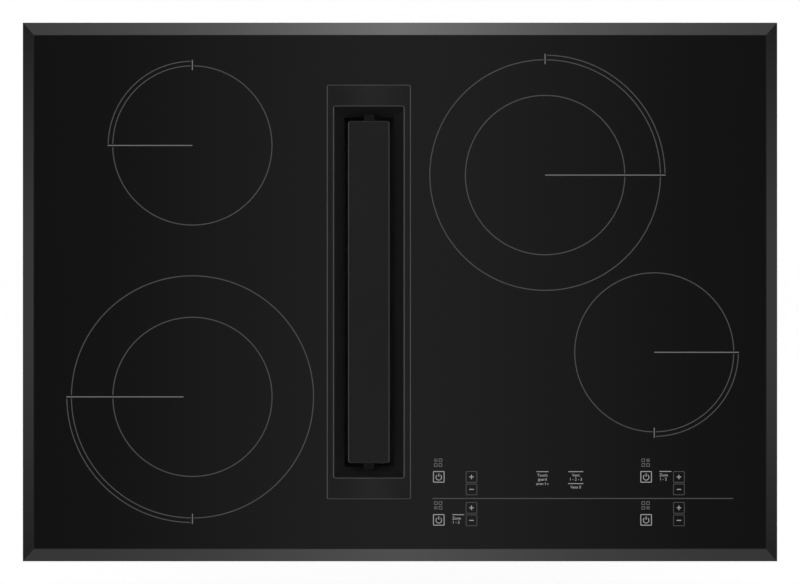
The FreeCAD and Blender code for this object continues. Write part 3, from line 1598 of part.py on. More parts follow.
def build():
    """Make every sub-part."""
    glass_top()
    worktop_seal()
    burner_box()
    box_floor()
    for name, (x, y, zone, turn) in BURNERS.items():
        notch_pan(element_pan(name, x, y, zone), turn, zone)
        element_insulation(name, x, y, zone, turn)
        element_ribbon(name, x, y, zone, turn)
        element_limiter(name, x, y, zone, turn)
    support_rails()
    element_springs()
    control_housing()
    control_board()
    touch_pads()
    relay_board_tray()
    relay_board()
    junction_box()
    junction_cover()
    conduit_connector()
    grille_frame()
    grille_cover_bar()
    grille_brackets()
    vent_chamber_gasket()
    vent_chamber()
    filter_frame()
    filter_mesh()
    filter_rails()
    plenum()
    drip_cup()
    scroll_wrap()
    scroll_inlet_plate()
    scroll_motor_plate()
    blower_wheel()
    motor_rotor()
    motor_front_bell()
    motor_rear_bell()
    motor_stator()
    motor_bearings()
    capacitor()
    capacitor_clamp()
    outlet_transition()
    outlet_collar()
    damper_disc()
    damper_pin()
    for side, sign in (("left", -1), ("right", 1)):
        hold_down(side, sign)
        clamp_screw(side, sign)
    case_screws()


def check():
    """Stop on any object that failed, and on any shape that is empty or not valid."""
    for thing in DOC.Objects:
        if "Invalid" in thing.State or "Error" in thing.State:
            raise RuntimeError(f"{thing.Label}: {thing.State}")
    for node in NODES:
        if node.Shape.isNull() or not node.Shape.isValid() or not node.Shape.Solids:
            raise RuntimeError(f"{node.Label} has no valid solid")


def export():
    """Write one file for each node."""
    os.makedirs("parts", exist_ok=True)
    for node in NODES:
        node.Shape.exportStep(f"parts/{node.Label}.step")
        print(f"{node.Label}: {len(node.Shape.Solids)} solids, {node.Shape.Volume:.1f} mm3")


build()
DOC.recompute()
check()
export()
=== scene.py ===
"""Looks for a downdraft cooktop: polished glass, printed zones, enamelled grille and ducts."""

import json
import math
from collections import namedtuple

import bmesh
import bpy
from mathutils import Matrix, Vector


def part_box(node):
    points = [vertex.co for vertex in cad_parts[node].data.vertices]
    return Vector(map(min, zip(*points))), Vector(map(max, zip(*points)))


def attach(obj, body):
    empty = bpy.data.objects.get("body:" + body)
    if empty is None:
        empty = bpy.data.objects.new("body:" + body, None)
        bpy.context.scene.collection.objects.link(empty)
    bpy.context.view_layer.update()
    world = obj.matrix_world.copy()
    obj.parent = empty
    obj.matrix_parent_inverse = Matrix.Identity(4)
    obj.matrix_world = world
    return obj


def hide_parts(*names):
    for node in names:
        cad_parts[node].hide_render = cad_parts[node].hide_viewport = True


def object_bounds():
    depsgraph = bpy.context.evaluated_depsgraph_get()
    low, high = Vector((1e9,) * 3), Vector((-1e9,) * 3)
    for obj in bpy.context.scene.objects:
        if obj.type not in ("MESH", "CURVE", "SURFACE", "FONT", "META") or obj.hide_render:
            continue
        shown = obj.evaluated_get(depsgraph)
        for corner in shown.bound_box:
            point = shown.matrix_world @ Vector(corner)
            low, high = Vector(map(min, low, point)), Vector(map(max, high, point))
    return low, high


bl_info = {
    "name": "Downdraft cooktop finish",
    "version": (1, 0, 0),
    "blender": (4, 5, 0),
    "location": "View3D > Sidebar > Cooktop",
    "description": "Dresses the downdraft cooktop's frame with its glass, print and sheet metal",
    "category": "Object",
}

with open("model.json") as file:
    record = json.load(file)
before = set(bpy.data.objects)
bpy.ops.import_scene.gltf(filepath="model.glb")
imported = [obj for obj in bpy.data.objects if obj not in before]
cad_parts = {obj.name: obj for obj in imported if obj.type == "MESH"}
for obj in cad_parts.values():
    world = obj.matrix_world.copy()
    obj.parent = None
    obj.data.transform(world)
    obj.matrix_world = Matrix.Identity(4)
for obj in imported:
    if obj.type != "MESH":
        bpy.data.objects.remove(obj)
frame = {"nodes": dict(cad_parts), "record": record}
CAD_BOX = [list(map(float, corner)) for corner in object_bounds()]

MM = 0.001
ROOT = "cooktop"
WHITE = (1.0, 1.0, 1.0, 1.0)
GLASS_TOP = Vector(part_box("glass_top")[1]).z
GRILLE_FOOT = Vector(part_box("grille_frame")[0]).z
BAR_TOP = Vector(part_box("grille_cover_bar")[1]).z
FLOOR_Z = CAD_BOX[0][2]

# Cooking zones in millimetres: centre, printed radii, the angle from which the outer arc
# runs a quarter round, which way the size line points and how far out it starts
Zone = namedtuple("Zone", "at rings quarter line start")
ZONES = (
    Zone((-215.2, 151.9), (82.5,), 90, 180, 0.0),
    Zone((-215.1, -108.7), (125.5, 82.5), 180, 180, 9.2),
    Zone((150.4, 121.2), (119.5, 82.6), 0, 0, 0.0),
    Zone((263.5, -62.5), (82.4,), 270, 0, 0.0),
)
LINE_PAST_ARC = 0.6
TICK_SHIFT = 0.9

# Touch keys in millimetres: the columns and rows of the power keys and of the plus and
# minus keys, and where four small squares stand and which of them is filled
POWER_COLUMNS = (40.2, 255.1)
POWER_ROWS = (-191.6, -236.2)
STEP_COLUMNS = (74.1, 289.1)
STEP_ROWS = ((-191.7, "plus"), (-204.6, "minus"), (-223.7, "plus"), (-236.7, "minus"))
ZONE_MARKS = ((39.5, -176.9, 0), (254.6, -176.9, 1), (39.5, -221.2, 2), (254.6, -221.2, 3))
ZONE_MARK_CORNERS = ((-1, 1), (1, 1), (-1, -1), (1, -1))
ZONE_MARK_REACH = 2.45
ZONE_MARK_SIDE = 3.5
ZONE_MARK_LINE = 0.5

# Marks in millimetres: the power mark's broken ring, with its rise, radius and angles, and
# its stroke, with rise and length; the plus and minus; the divider's middle and length
POWER_LINE = 0.8
POWER_RING = (-0.4, 2.9, 125, 415)
POWER_STROKE = (1.9, 3.6)
STEP_LINE = 0.9
STEP_LENGTH = 4.6
STEP_ARM = 1.9
DIVIDER = (189.5, -214.0, 311.8)

# Labels in millimetres: the middle and width of the bar over each, its words and their side
LABELS = (
    (60.4, -230.8, 12.4, ("Zone", "1 - 2"), "LEFT"),
    (275.1, -186.0, 12.4, ("Zone", "1 - 2"), "LEFT"),
    (147.6, -186.2, 12.4, ("Touch", "guard"), "CENTER"),
    (182.2, -186.2, 15.6, ("Vent", "1 - 2 - 3"), "CENTER"),
    (182.2, -198.6, 15.6, ("Vent 0",), "CENTER"),
)
NOTE = ("press 3 s", 147.6, -198.8, 3.5)
LABEL_BAR = 0.75
WORD_SIZE = 4.1
WORD_DROP = 3.8
WORD_STEP = 4.2

# Materials of the grille's faces, and how far up its slopes and the rounded edge of its bar
# face, as the Z of their normals. The edge materials are painted highlights, and the slope material
# is painted lighter at its foot
PLAIN, EDGE_HIGHLIGHT, SLOPE, LONG_EDGE_HIGHLIGHT = range(4)
SLOPE_NORMALS = (0.1, 0.8)
ROUND_NORMALS = (0.5, 0.98)

# The filter's mesh: its layers of strands, their slant and cant in degrees, and their gauge
MESH_LAYERS = 4
MESH_SLANT = 28
MESH_CANT = 28
MESH_GAUGE = 0.35 * MM

# The motor's through-bolts: where they stand in degrees, and the sides of the washer and of
# the head, with radius, height and start in millimetres
BOLT_ANGLES = (60, 120, 240, 300)
BOLT_FORMS = ((24, 4.6, 0.9, 0.0), (6, 3.9, 3.0, 0.8))

# How far from the middle a card's glow fades, in metres
CARD_REACH = 0.9


# Sizes and colours


def number(name, description, default, **kind):
    """A brightness, or a size in its own unit."""
    return bpy.props.FloatProperty(name=name, description=description, default=default, **kind)


def length(name, description, default):
    """A size in millimetres."""
    return number(name, description, default, min=0)


def colour(name, description, default):
    """A linear colour."""
    return bpy.props.FloatVectorProperty(
        name=name, description=description, default=default, subtype="COLOR", min=0, max=1,
    )


class CooktopPrintSettings(bpy.types.PropertyGroup):
    """The ceramic print on the glass."""

    height: length("Print height", "How far the print stands above the glass, mm", 0.03)
    ring: length("Ring width", "Width of the zone rings, mm", 1.0)
    line: length("Line width", "Width of the size lines and ticks, mm", 1.0)
    arc_gap: length("Arc gap", "From a zone's ring to its outer quarter arc, mm", 4.75)
    tick: length("Tick length", "Length of a zone's tick, mm", 10.6)
    line_break: length("Line break", "Bare glass beside a line where a ring crosses it, mm", 1.3)
    key: length("Key side", "Side of a touch key's frame, mm", 11.9)
    key_line: length("Key line", "Width of a key frame's line, mm", 0.55)
    divider: length("Divider width", "Width of the line between the key rows, mm", 1.0)
    dim: colour("Ring colour", "Print of the zone rings", (0.126, 0.126, 0.128))
    bright: colour("Key colour", "Print of the main keys", (0.69, 0.69, 0.7))
    soft: colour("Line colour", "Print of lines and small frames", (0.33, 0.33, 0.335))


class CooktopFinishSettings(bpy.types.PropertyGroup):
    """Finishes of the glass and the metal."""

    glass: colour("Glass colour", "Body colour of the black glass", (0.0034, 0.0036, 0.0038))
    enamel: colour("Enamel colour", "Satin enamel of the grille", (0.0095, 0.0096, 0.0098))
    bar_enamel: colour("Bar colour", "Satin enamel of the cover bar", (0.0125, 0.0126, 0.0128))
    # Painted highlight: light grey on the grille's rounded edges, so that they show as bright lines.
    edge_highlight_paint: colour("Edge colour", "Enamel thinned on the edges", (0.1, 0.1, 0.102))
    # Painted highlight: a lighter grey on the rounded edges along the grille's long sides.
    long_edge_highlight_paint: colour("Long edge colour", "Enamel rubbed on long edges", (0.17, 0.17, 0.172))
    dull_enamel: colour("Slope colour", "Dull enamel of the slopes", (0.007, 0.007, 0.0072))
    # Painted light: the slopes are coloured lighter towards their foot, against the shade of the
    # bar.
    slope_foot_painted_light: colour("Slope foot colour", "Dull enamel low on slopes", (0.035, 0.035, 0.0357))
    strap_enamel: colour("Strap colour", "Enamel of the bar's straps", (0.021, 0.021, 0.0215))
    steel: colour("Sheet colour", "Galvanised sheet of the box and ducts", (0.5, 0.51, 0.52))
    arris: length("Arris", "Rounding on the glass top's edges, mm", 0.35)
    enamel_edge: length("Enamel edge", "Rounding on the grille's edges, mm", 0.8)
    mesh_pitch: length("Mesh pitch", "From strand to strand of the filter's mesh, mm", 5.0)
    mesh_strand: length("Mesh strand", "Width of a strand of the filter's mesh, mm", 1.3)
    lamination: length("Sheet pitch", "From sheet to sheet in the motor's stack, mm", 1.0)
    weld: length("Weld", "Radius of a spot weld in the sheet, mm", 2.7)
    weld_pitch: length("Weld pitch", "From one spot weld to the next, mm", 48.0)
    seam: length("Seam", "Width of the lap that closes the box's sides, mm", 15.0)


class CooktopStageSettings(bpy.types.PropertyGroup):
    """Floor, lamps and camera."""

    camera_height: number("Camera height", "Height above the glass", 3.455, unit="LENGTH")
    lens: number("Lens", "Lens of the camera, mm", 150.0)
    floor: colour("Floor colour", "The pale floor", (0.9, 0.9, 0.9))
    overhead: number("Overhead card", "Brightness of the card over the glass", 0.3)
    rear: number("Rear softbox", "Brightness of the softbox behind", 3.75)
    front: number("Front softbox", "Brightness of the softbox in front", 1.85)
    side: number("Side softboxes", "Brightness of the softboxes at the sides", 0.88)
    world: number("World", "Brightness of the room", 0.4)


# Shader helpers


def fill(tree, socket, value):
    """Links a socket to another, or sets it to a plain value."""
    if isinstance(value, bpy.types.NodeSocket):
        tree.links.new(value, socket)
    else:
        socket.default_value = value


def add_node(tree, kind, **values):
    """A node whose inputs and settings are given by name, with _ for a space in an input's."""
    made = tree.nodes.new(kind)
    for key, value in values.items():
        label = key.replace("_", " ")
        if label in made.inputs:
            fill(tree, made.inputs[label], value)
        else:
            setattr(made, key, value)
    return made


def calculate(tree, operation, *values, kind="ShaderNodeMath", **settings):
    """What a maths node gives for sockets or numbers in the order of its inputs."""
    made = add_node(tree, kind, operation=operation, **settings)
    for socket, value in zip(made.inputs, values):
        fill(tree, socket, value)
    return made.outputs[0]


def calculate_vector(tree, operation, *values):
    return calculate(tree, operation, *values, kind="ShaderNodeVectorMath")


def mix_of(tree, kind, factor, first, second):
    """What a Mix node of a kind, RGBA or VECTOR, gives between two sockets or values."""
    made = add_node(tree, "ShaderNodeMix", data_type=kind, Factor=factor)
    sides = [socket for socket in made.inputs if socket.type == kind][-2:]
    for socket, value in zip(sides, (first, second)):
        fill(tree, socket, value)
    return next(socket for socket in made.outputs if socket.type == kind)


def ramp_of(tree, factor, first, last, end=1.0):
    """A colour that goes from first to last as the factor goes from 0 to the end."""
    made = add_node(tree, "ShaderNodeValToRGB", Fac=factor)
    low, high = made.color_ramp.elements
    low.color = (*first, 1.0)
    high.color = (*last, 1.0)
    high.position = end
    return made.outputs["Color"]


def tone(base, share):
    """A colour made darker or lighter."""
    return tuple(min(1.0, share * part) for part in base)


def object_place(tree):
    return add_node(tree, "ShaderNodeTexCoord").outputs["Object"]


def object_axes(tree):
    return add_node(tree, "ShaderNodeSeparateXYZ", Vector=object_place(tree)).outputs


def new_material(name):
    """An empty node material and its tree."""
    material = bpy.data.materials.new(name)
    material.use_nodes = True
    material.node_tree.nodes.clear()
    return material, material.node_tree


def new_surface(name, **values):
    """A material of one Principled shader, with its tree and the shader."""
    material, tree = new_material(name)
    shader = add_node(tree, "ShaderNodeBsdfPrincipled", **values)
    add_node(tree, "ShaderNodeOutputMaterial", Surface=shader.outputs["BSDF"])
    return material, tree, shader


def add_bump(tree, shader, height, strength, distance):
    """Relief on a shader from a height socket, at most the distance in metres."""
    relief = add_node(
        tree, "ShaderNodeBump", Strength=strength, Distance=distance, Height=height,
    )
    fill(tree, shader.inputs["Normal"], relief.outputs["Normal"])


def new_group(name, inputs, outputs):
    """A node group, what it is given and its Object coordinates.

    Each socket has a kind, or a number that is its default.
    """
    group = bpy.data.node_groups.new(name, "ShaderNodeTree")
    for way, sockets in (("INPUT", inputs), ("OUTPUT", outputs)):
        for label, kind in sockets.items():
            plain = isinstance(kind, float)
            socket_type = "NodeSocket" + ("Float" if plain else kind)
            socket = group.interface.new_socket(label, in_out=way, socket_type=socket_type)
            if plain:
                socket.default_value = kind
    return group, group.nodes.new("NodeGroupInput").outputs, object_place(group)


def surface_variation():
    """Node group: slow mottling, fine grain and a height, from Object coordinates."""
    name = "cooktop_surface_variation"
    if name in bpy.data.node_groups:
        return bpy.data.node_groups[name]
    inputs = {
        "Colour": "Color", "Mottle Scale": 12.0, "Mottle Amount": 0.1,
        "Grain Scale": 900.0, "Grain Amount": 0.1, "Roughness": 0.4, "Roughness Amount": 0.1,
    }
    outputs = {"Colour": "Color", "Roughness": "Float", "Height": "Float"}
    group, given, place = new_group(name, inputs, outputs)
    slow = add_node(
        group, "ShaderNodeTexNoise", Detail=3.0, Vector=place, Scale=given["Mottle Scale"],
    )
    fine = add_node(
        group, "ShaderNodeTexNoise", Detail=2.0, Vector=place, Scale=given["Grain Scale"],
    )

    def signed(noise, amount):
        """The noise about zero, times an amount."""
        centred = calculate(group, "SUBTRACT", noise.outputs["Fac"], 0.5)
        return calculate(group, "MULTIPLY", centred, given[amount])

    both = calculate(group, "ADD", signed(slow, "Mottle Amount"), signed(fine, "Grain Amount"))
    tint = add_node(
        group, "ShaderNodeVectorMath", operation="SCALE", Vector=given["Colour"],
        Scale=calculate(group, "ADD", both, 1.0),
    )
    rough = calculate(
        group, "ADD", signed(slow, "Roughness Amount"), given["Roughness"], use_clamp=True,
    )
    add_node(
        group, "NodeGroupOutput", Colour=tint.outputs["Vector"], Roughness=rough,
        Height=fine.outputs["Fac"],
    )
    return group


def fold_wear():
    """Node group: a mask along a box's edges, broken up by noise, from Object coordinates."""
    name = "cooktop_fold_wear"
    if name in bpy.data.node_groups:
        return bpy.data.node_groups[name]
    inputs = {"Low": "Vector", "High": "Vector", "Reach": 0.003}
    group, given, place = new_group(name, inputs, {"Mask": "Float"})
    above = calculate_vector(group, "SUBTRACT", place, given["Low"])
    below = calculate_vector(group, "SUBTRACT", given["High"], place)
    nearest = calculate_vector(group, "MINIMUM", above, below)
    x, y, z = add_node(group, "ShaderNodeSeparateXYZ", Vector=nearest).outputs

    def of_three(operation):
        return calculate(group, operation, calculate(group, operation, x, y), z)

    larger = calculate(group, "SUBTRACT", of_three("ADD"), of_three("MINIMUM"))
    second = calculate(group, "SUBTRACT", larger, of_three("MAXIMUM"))
    noise = add_node(group, "ShaderNodeTexNoise", Scale=140.0, Detail=3.0, Vector=place)
    fade = add_node(
        group, "ShaderNodeMapRange", interpolation_type="SMOOTHSTEP", Value=second,
        From_Max=calculate(group, "MULTIPLY", noise.outputs["Fac"], given["Reach"]),
        To_Min=1.0, To_Max=0.0,
    )
    add_node(group, "NodeGroupOutput", Mask=fade.outputs["Result"])
    return group


# Materials


def varied_material(name, base, looks, bump=0.0, **settings):
    """A surface whose colour, roughness and height come from the variation group.

    The looks are constants of the shader and the settings those of the group.
    """
    material, tree, shader = new_surface(name, **looks)
    vary = add_node(
        tree, "ShaderNodeGroup", node_tree=surface_variation(), Colour=(*base, 1.0), **settings,
    )
    fill(tree, shader.inputs["Base Color"], vary.outputs["Colour"])
    fill(tree, shader.inputs["Roughness"], vary.outputs["Roughness"])
    if bump:
        add_bump(tree, shader, vary.outputs["Height"], 1.0, bump)
    return material


def glass_material(name, base):
    """Polished black glass-ceramic, with faint wiping marks in its gloss."""
    return varied_material(
        name, base, {"IOR": 1.52}, Mottle_Scale=5.0, Mottle_Amount=0.12, Grain_Scale=40.0,
        Grain_Amount=0.06, Roughness=0.075, Roughness_Amount=0.04,
    )


def enamel_material(name, base, roughness=0.3, ior=1.42, bump=0.00002, **looks):
    """Satin black enamel on steel: a fine orange peel under a soft sheen."""
    return varied_material(
        name, base, {"IOR": ior, **looks}, bump, Mottle_Scale=30.0, Mottle_Amount=0.15,
        Grain_Scale=1400.0, Grain_Amount=0.25, Roughness=roughness, Roughness_Amount=0.08,
    )


def slope_material(name, base, lit_foot, top, bottom):
    """Dull enamel painted lighter from the top of a slope to its foot, a painted lift of the shade
    that the bar casts low on the slope.
    """
    material = enamel_material(name, base, 0.6, 1.4, Sheen_Weight=0.08, Sheen_Roughness=0.5)
    tree = material.node_tree
    depth = add_node(
        tree, "ShaderNodeMapRange", interpolation_type="SMOOTHSTEP",
        Value=object_axes(tree)["Z"], From_Min=top, From_Max=bottom,
    )
    painted_foot_light = mix_of(tree, "RGBA", depth.outputs["Result"], (*base, 1.0), (*lit_foot, 1.0))
    vary = next(made for made in tree.nodes if made.bl_idname == "ShaderNodeGroup")
    fill(tree, vary.inputs["Colour"], painted_foot_light)
    return material


def print_material(name, base):
    """Ceramic print fired on the glass: slightly uneven and dull."""
    return varied_material(
        name, base, {}, Mottle_Scale=60.0, Mottle_Amount=0.15, Grain_Scale=2500.0,
        Grain_Amount=0.3, Roughness=0.5, Roughness_Amount=0.1,
    )


def metal_material(name, base, roughness):
    """Bare metal with a turned or rolled grain."""
    return varied_material(
        name, base, {"Metallic": 1.0}, 0.00001, Mottle_Scale=25.0, Mottle_Amount=0.12,
        Grain_Scale=900.0, Grain_Amount=0.25, Roughness=roughness, Roughness_Amount=0.15,
    )


def plastic_material(name, base, roughness):
    """Moulded plastic with a fine spark-eroded texture."""
    return varied_material(
        name, base, {}, 0.00003, Mottle_Scale=15.0, Mottle_Amount=0.1, Grain_Scale=1800.0,
        Grain_Amount=0.2, Roughness=roughness, Roughness_Amount=0.08,
    )


def galvanised_material(name, base, low, high):
    """Zinc-coated sheet: spangles in colour and gloss, a rolled grain and scuffed folds.

    The folds are those along the sides of the box from low to high, in metres.
    """
    material, tree, shader = new_surface(name, Metallic=0.85)
    place = object_place(tree)
    warp = add_node(tree, "ShaderNodeTexNoise", Scale=60.0, Detail=1.0, Vector=place)
    bent = mix_of(tree, "VECTOR", 0.006, place, warp.outputs["Color"])
    spangle = add_node(tree, "ShaderNodeTexVoronoi", Scale=110.0, Vector=bent)
    grey = add_node(tree, "ShaderNodeRGBToBW", Color=spangle.outputs["Color"]).outputs["Val"]
    vary = add_node(
        tree, "ShaderNodeGroup", node_tree=surface_variation(), Mottle_Scale=9.0,
        Mottle_Amount=0.18, Grain_Scale=700.0, Grain_Amount=0.12, Roughness_Amount=0.2,
        Colour=ramp_of(tree, grey, tone(base, 0.86), tone(base, 1.08)),
        Roughness=calculate(tree, "MULTIPLY_ADD", grey, 0.16, 0.34),
    ).outputs
    rub_and_highlight = add_node(
        tree, "ShaderNodeGroup", node_tree=fold_wear(), Low=low, High=high, Reach=0.004,
    ).outputs["Mask"]
    wear_and_highlight = mix_of(tree, "RGBA", rub_and_highlight, vary["Colour"], (*tone(base, 1.35), 1.0))
    fill(tree, shader.inputs["Base Color"], wear_and_highlight)
    smooth = calculate(tree, "MULTIPLY_ADD", rub_and_highlight, -0.14, vary["Roughness"])
    fill(tree, shader.inputs["Roughness"], smooth)
    add_bump(tree, shader, vary["Height"], 0.5, 0.00002)
    return material


def laminated_material(name, base, pitch):
    """A stack of steel sheets across X, one to each pitch in metres."""
    material, tree, shader = new_surface(name, Metallic=0.9)
    sheets = add_node(
        tree, "ShaderNodeTexWave", Scale=math.tau / 20 / pitch, Distortion=0.4,
        Vector=object_place(tree),
    ).outputs["Fac"]
    fill(tree, shader.inputs["Base Color"], ramp_of(tree, sheets, tone(base, 0.45), base, 0.45))
    dull = calculate(tree, "MULTIPLY_ADD", sheets, -0.15, 0.55)
    fill(tree, shader.inputs["Roughness"], dull)
    add_bump(tree, shader, sheets, 0.6, 0.00004)
    return material


# Mesh helpers


def corners_of(box):
    """A box's low and high corners as vectors."""
    return [Vector(corner) for corner in box]


def new_object(name, bm, material):
    """An object of one material from a bmesh in metres."""
    mesh = bpy.data.meshes.new(name)
    bm.to_mesh(mesh)
    bm.free()
    mesh.materials.append(material)
    made = bpy.data.objects.new(name, mesh)
    bpy.context.collection.objects.link(made)
    return made


def finish_piece(name, bm, material, body=ROOT, outward=True):
    """Turn a bmesh in metres into a finished piece that rides on a body."""
    if outward:
        bmesh.ops.recalc_face_normals(bm, faces=bm.faces)
    piece = new_object(name, bm, material)
    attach(piece, body)
    return piece


def softened_copy(
    node, name, edge, material, body=ROOT, slot=None, sharpest=30, wear_and_highlight=None, above=None,
):
    """A CAD node's own form with its corners rounded, in place of the node.

    The rounded edges take the edge material where one is given, which on the grille is a
    painted highlight. A height in metres leaves the corners below it as they are.
    """
    bm = bmesh.new()
    bm.from_mesh(frame["nodes"][node].data)
    bmesh.ops.remove_doubles(bm, verts=bm.verts, dist=1e-6)
    bmesh.ops.dissolve_limit(
        bm, angle_limit=math.radians(0.05), verts=bm.verts, edges=bm.edges,
    )
    corners = [
        e for e in bm.edges
        if len(e.link_faces) == 2 and e.calc_face_angle() > math.radians(sharpest)
        and (above is None or min(v.co.z for v in e.verts) > above)
    ]
    rounded = bmesh.ops.bevel(
        bm, geom=corners, offset=edge * MM, offset_type="OFFSET", affect="EDGES",
        segments=2, profile=0.5, material=-1, clamp_overlap=False,
    )
    for face in bm.faces:
        face.material_index = PLAIN
    # On the grille the edge material is a painted highlight.
    if wear_and_highlight:
        for face in rounded["faces"]:
            face.material_index = EDGE_HIGHLIGHT
    bmesh.ops.triangulate(bm, faces=[face for face in bm.faces if len(face.verts) > 4])
    piece = finish_piece(name, bm, material, body, outward=False)
    if wear_and_highlight:
        piece.data.materials.append(wear_and_highlight)
    smooth_by_angle(piece)
    level = piece.modifiers.new("level_faces", "WEIGHTED_NORMAL")
    level.weight = 100
    level.keep_sharp = True
    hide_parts(node)
    return piece


def smooth_by_angle(piece, angle=35):
    """Smooth shading except across corners sharper than the angle."""
    mesh = piece.data
    mesh.shade_smooth()
    bm = bmesh.new()
    bm.from_mesh(mesh)
    for edge in bm.edges:
        if len(edge.link_faces) == 2:
            edge.smooth = edge.calc_face_angle() < math.radians(angle)
    bm.to_mesh(mesh)
    bm.free()


def add_bar(bm, x, y, width, depth, low, high):
    """A flat bar about x, y, in millimetres."""
    made = bmesh.ops.create_cube(bm, size=1)
    scale = Matrix.Diagonal((width * MM, depth * MM, (high - low) * MM, 1))
    shift = Matrix.Translation((x * MM, y * MM, (low + high) / 2 * MM))
    bmesh.ops.transform(bm, matrix=shift @ scale, verts=made["verts"])


def add_arc(bm, x, y, radius, width, first, last, low, high):
    """A flat strip on an arc about x, y, less than a full turn, in mm and degrees."""
    before = set(bm.verts)
    inner = (radius - width / 2) * MM
    outer = (radius + width / 2) * MM
    corners = ((inner, low), (outer, low), (outer, high), (inner, high))
    section = [bm.verts.new((side, 0, level * MM)) for side, level in corners]
    edges = [bm.edges.new((section[i - 1], section[i])) for i in range(4)]
    turn = Matrix.Rotation(math.radians(first), 4, "Z")
    bmesh.ops.transform(bm, matrix=turn, verts=section)
    bmesh.ops.spin(
        bm, geom=[*section, *edges], cent=(0, 0, 0), axis=(0, 0, 1), dvec=(0, 0, 0),
        angle=math.radians(last - first), steps=max(6, int((last - first) / 2.5)),
    )
    made = [v for v in bm.verts if v not in before]
    ends = {e for v in made for e in v.link_edges if e.is_boundary}
    bmesh.ops.holes_fill(bm, edges=list(ends), sides=4)
    bmesh.ops.translate(bm, vec=(x * MM, y * MM, 0), verts=made)


def add_frame(bm, x, y, side, line, low, high, corner=0.9):
    """A square outline about x, y with rounded corners, in millimetres."""
    made = bmesh.ops.create_grid(bm, x_segments=1, y_segments=1, size=side / 2 * MM)
    bmesh.ops.translate(bm, vec=(x * MM, y * MM, low * MM), verts=made["verts"])
    rounded = bmesh.ops.bevel(
        bm, geom=made["verts"], offset=corner * MM, offset_type="OFFSET", affect="VERTICES",
        segments=3, profile=0.5, material=-1,
    )
    square = rounded["verts"][0].link_faces[0]
    ring = bmesh.ops.inset_region(
        bm, faces=[square], thickness=line * MM, use_even_offset=True, use_boundary=True,
    )["faces"]
    bmesh.ops.delete(bm, geom=[square], context="FACES_ONLY")
    grown = bmesh.ops.extrude_face_region(bm, geom=ring)["geom"]
    tops = [item for item in grown if isinstance(item, bmesh.types.BMVert)]
    bmesh.ops.translate(bm, vec=(0, 0, (high - low) * MM), verts=tops)


def add_words(bm, words, x, y, size, low, high, align="CENTER"):
    """Lettering set flat on the glass, its middle line at y, in millimetres."""
    curve = bpy.data.curves.new("words", "FONT")
    curve.body = words
    curve.size = size * MM
    curve.align_x = align
    curve.align_y = "CENTER"
    curve.extrude = (high - low) / 2 * MM
    curve.offset = size * 0.01 * MM
    curve.resolution_u = 3
    holder = bpy.data.objects.new("words", curve)
    mesh = bpy.data.meshes.new_from_object(holder)
    mesh.transform(Matrix.Translation((x * MM, y * MM, (low + high) / 2 * MM)))
    bm.from_mesh(mesh)
    bpy.data.objects.remove(holder)
    bpy.data.curves.remove(curve)
    bpy.data.meshes.remove(mesh)


def plane_of(node):
    """Centre, size and axes of a flat CAD node that leans about the y axis, in metres."""
    mesh = frame["nodes"][node].data
    widest = max(mesh.polygons, key=lambda face: face.area)
    normal = widest.normal.copy()
    if normal.z < 0:
        normal.negate()
    along = Vector((0, 1, 0))
    across = along.cross(normal).normalized()
    low, high = corners_of(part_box(node))
    centre = (low + high) / 2
    spans = [v.co - centre for v in mesh.vertices]
    size = [2 * max(abs(span.dot(axis)) for span in spans) for axis in (across, along, normal)]
    return centre, Vector(size), Matrix((across, along, normal)).transposed().to_4x4()


def add_strand_layer(bm, size, level, slant, pitch, strand, shift):
    """Slanting flat strands over a rectangle, which stick out past its sides, in metres."""
    lean = math.radians(slant)
    reach = size.x / math.cos(lean) + 2 * strand
    run = size.y + size.x * abs(math.tan(lean))
    made = bmesh.ops.create_cube(bm, size=1)
    place = Matrix.Translation((0, -run / 2 + shift, level))
    turn = Matrix.Rotation(lean, 4, "Z")
    cant = Matrix.Rotation(math.radians(MESH_CANT), 4, "X")
    scale = Matrix.Diagonal((reach, strand, MESH_GAUGE, 1))
    bmesh.ops.transform(bm, matrix=place @ turn @ cant @ scale, verts=made["verts"])
    first = [*made["verts"], *{e for v in made["verts"] for e in v.link_edges},
             *{f for v in made["verts"] for f in v.link_faces}]
    for step in range(1, int(run / pitch)):
        copy = bmesh.ops.duplicate(bm, geom=first)["geom"]
        verts = [item for item in copy if isinstance(item, bmesh.types.BMVert)]
        bmesh.ops.translate(bm, vec=(0, step * pitch, 0), verts=verts)


def trim_to(bm, width, depth):
    """Cut everything off at a rectangle's four sides and close the cuts."""
    sides = (((1, 0, 0), width), ((-1, 0, 0), width), ((0, 1, 0), depth), ((0, -1, 0), depth))
    for normal, reach in sides:
        geom = [*bm.verts, *bm.edges, *bm.faces]
        cut = bmesh.ops.bisect_plane(
            bm, geom=geom, dist=1e-7, plane_co=Vector(normal) * reach / 2, plane_no=normal,
            clear_outer=True,
        )
        edges = [item for item in cut["geom_cut"] if isinstance(item, bmesh.types.BMEdge)]
        bmesh.ops.holes_fill(bm, edges=[e for e in edges if e.is_boundary], sides=8)


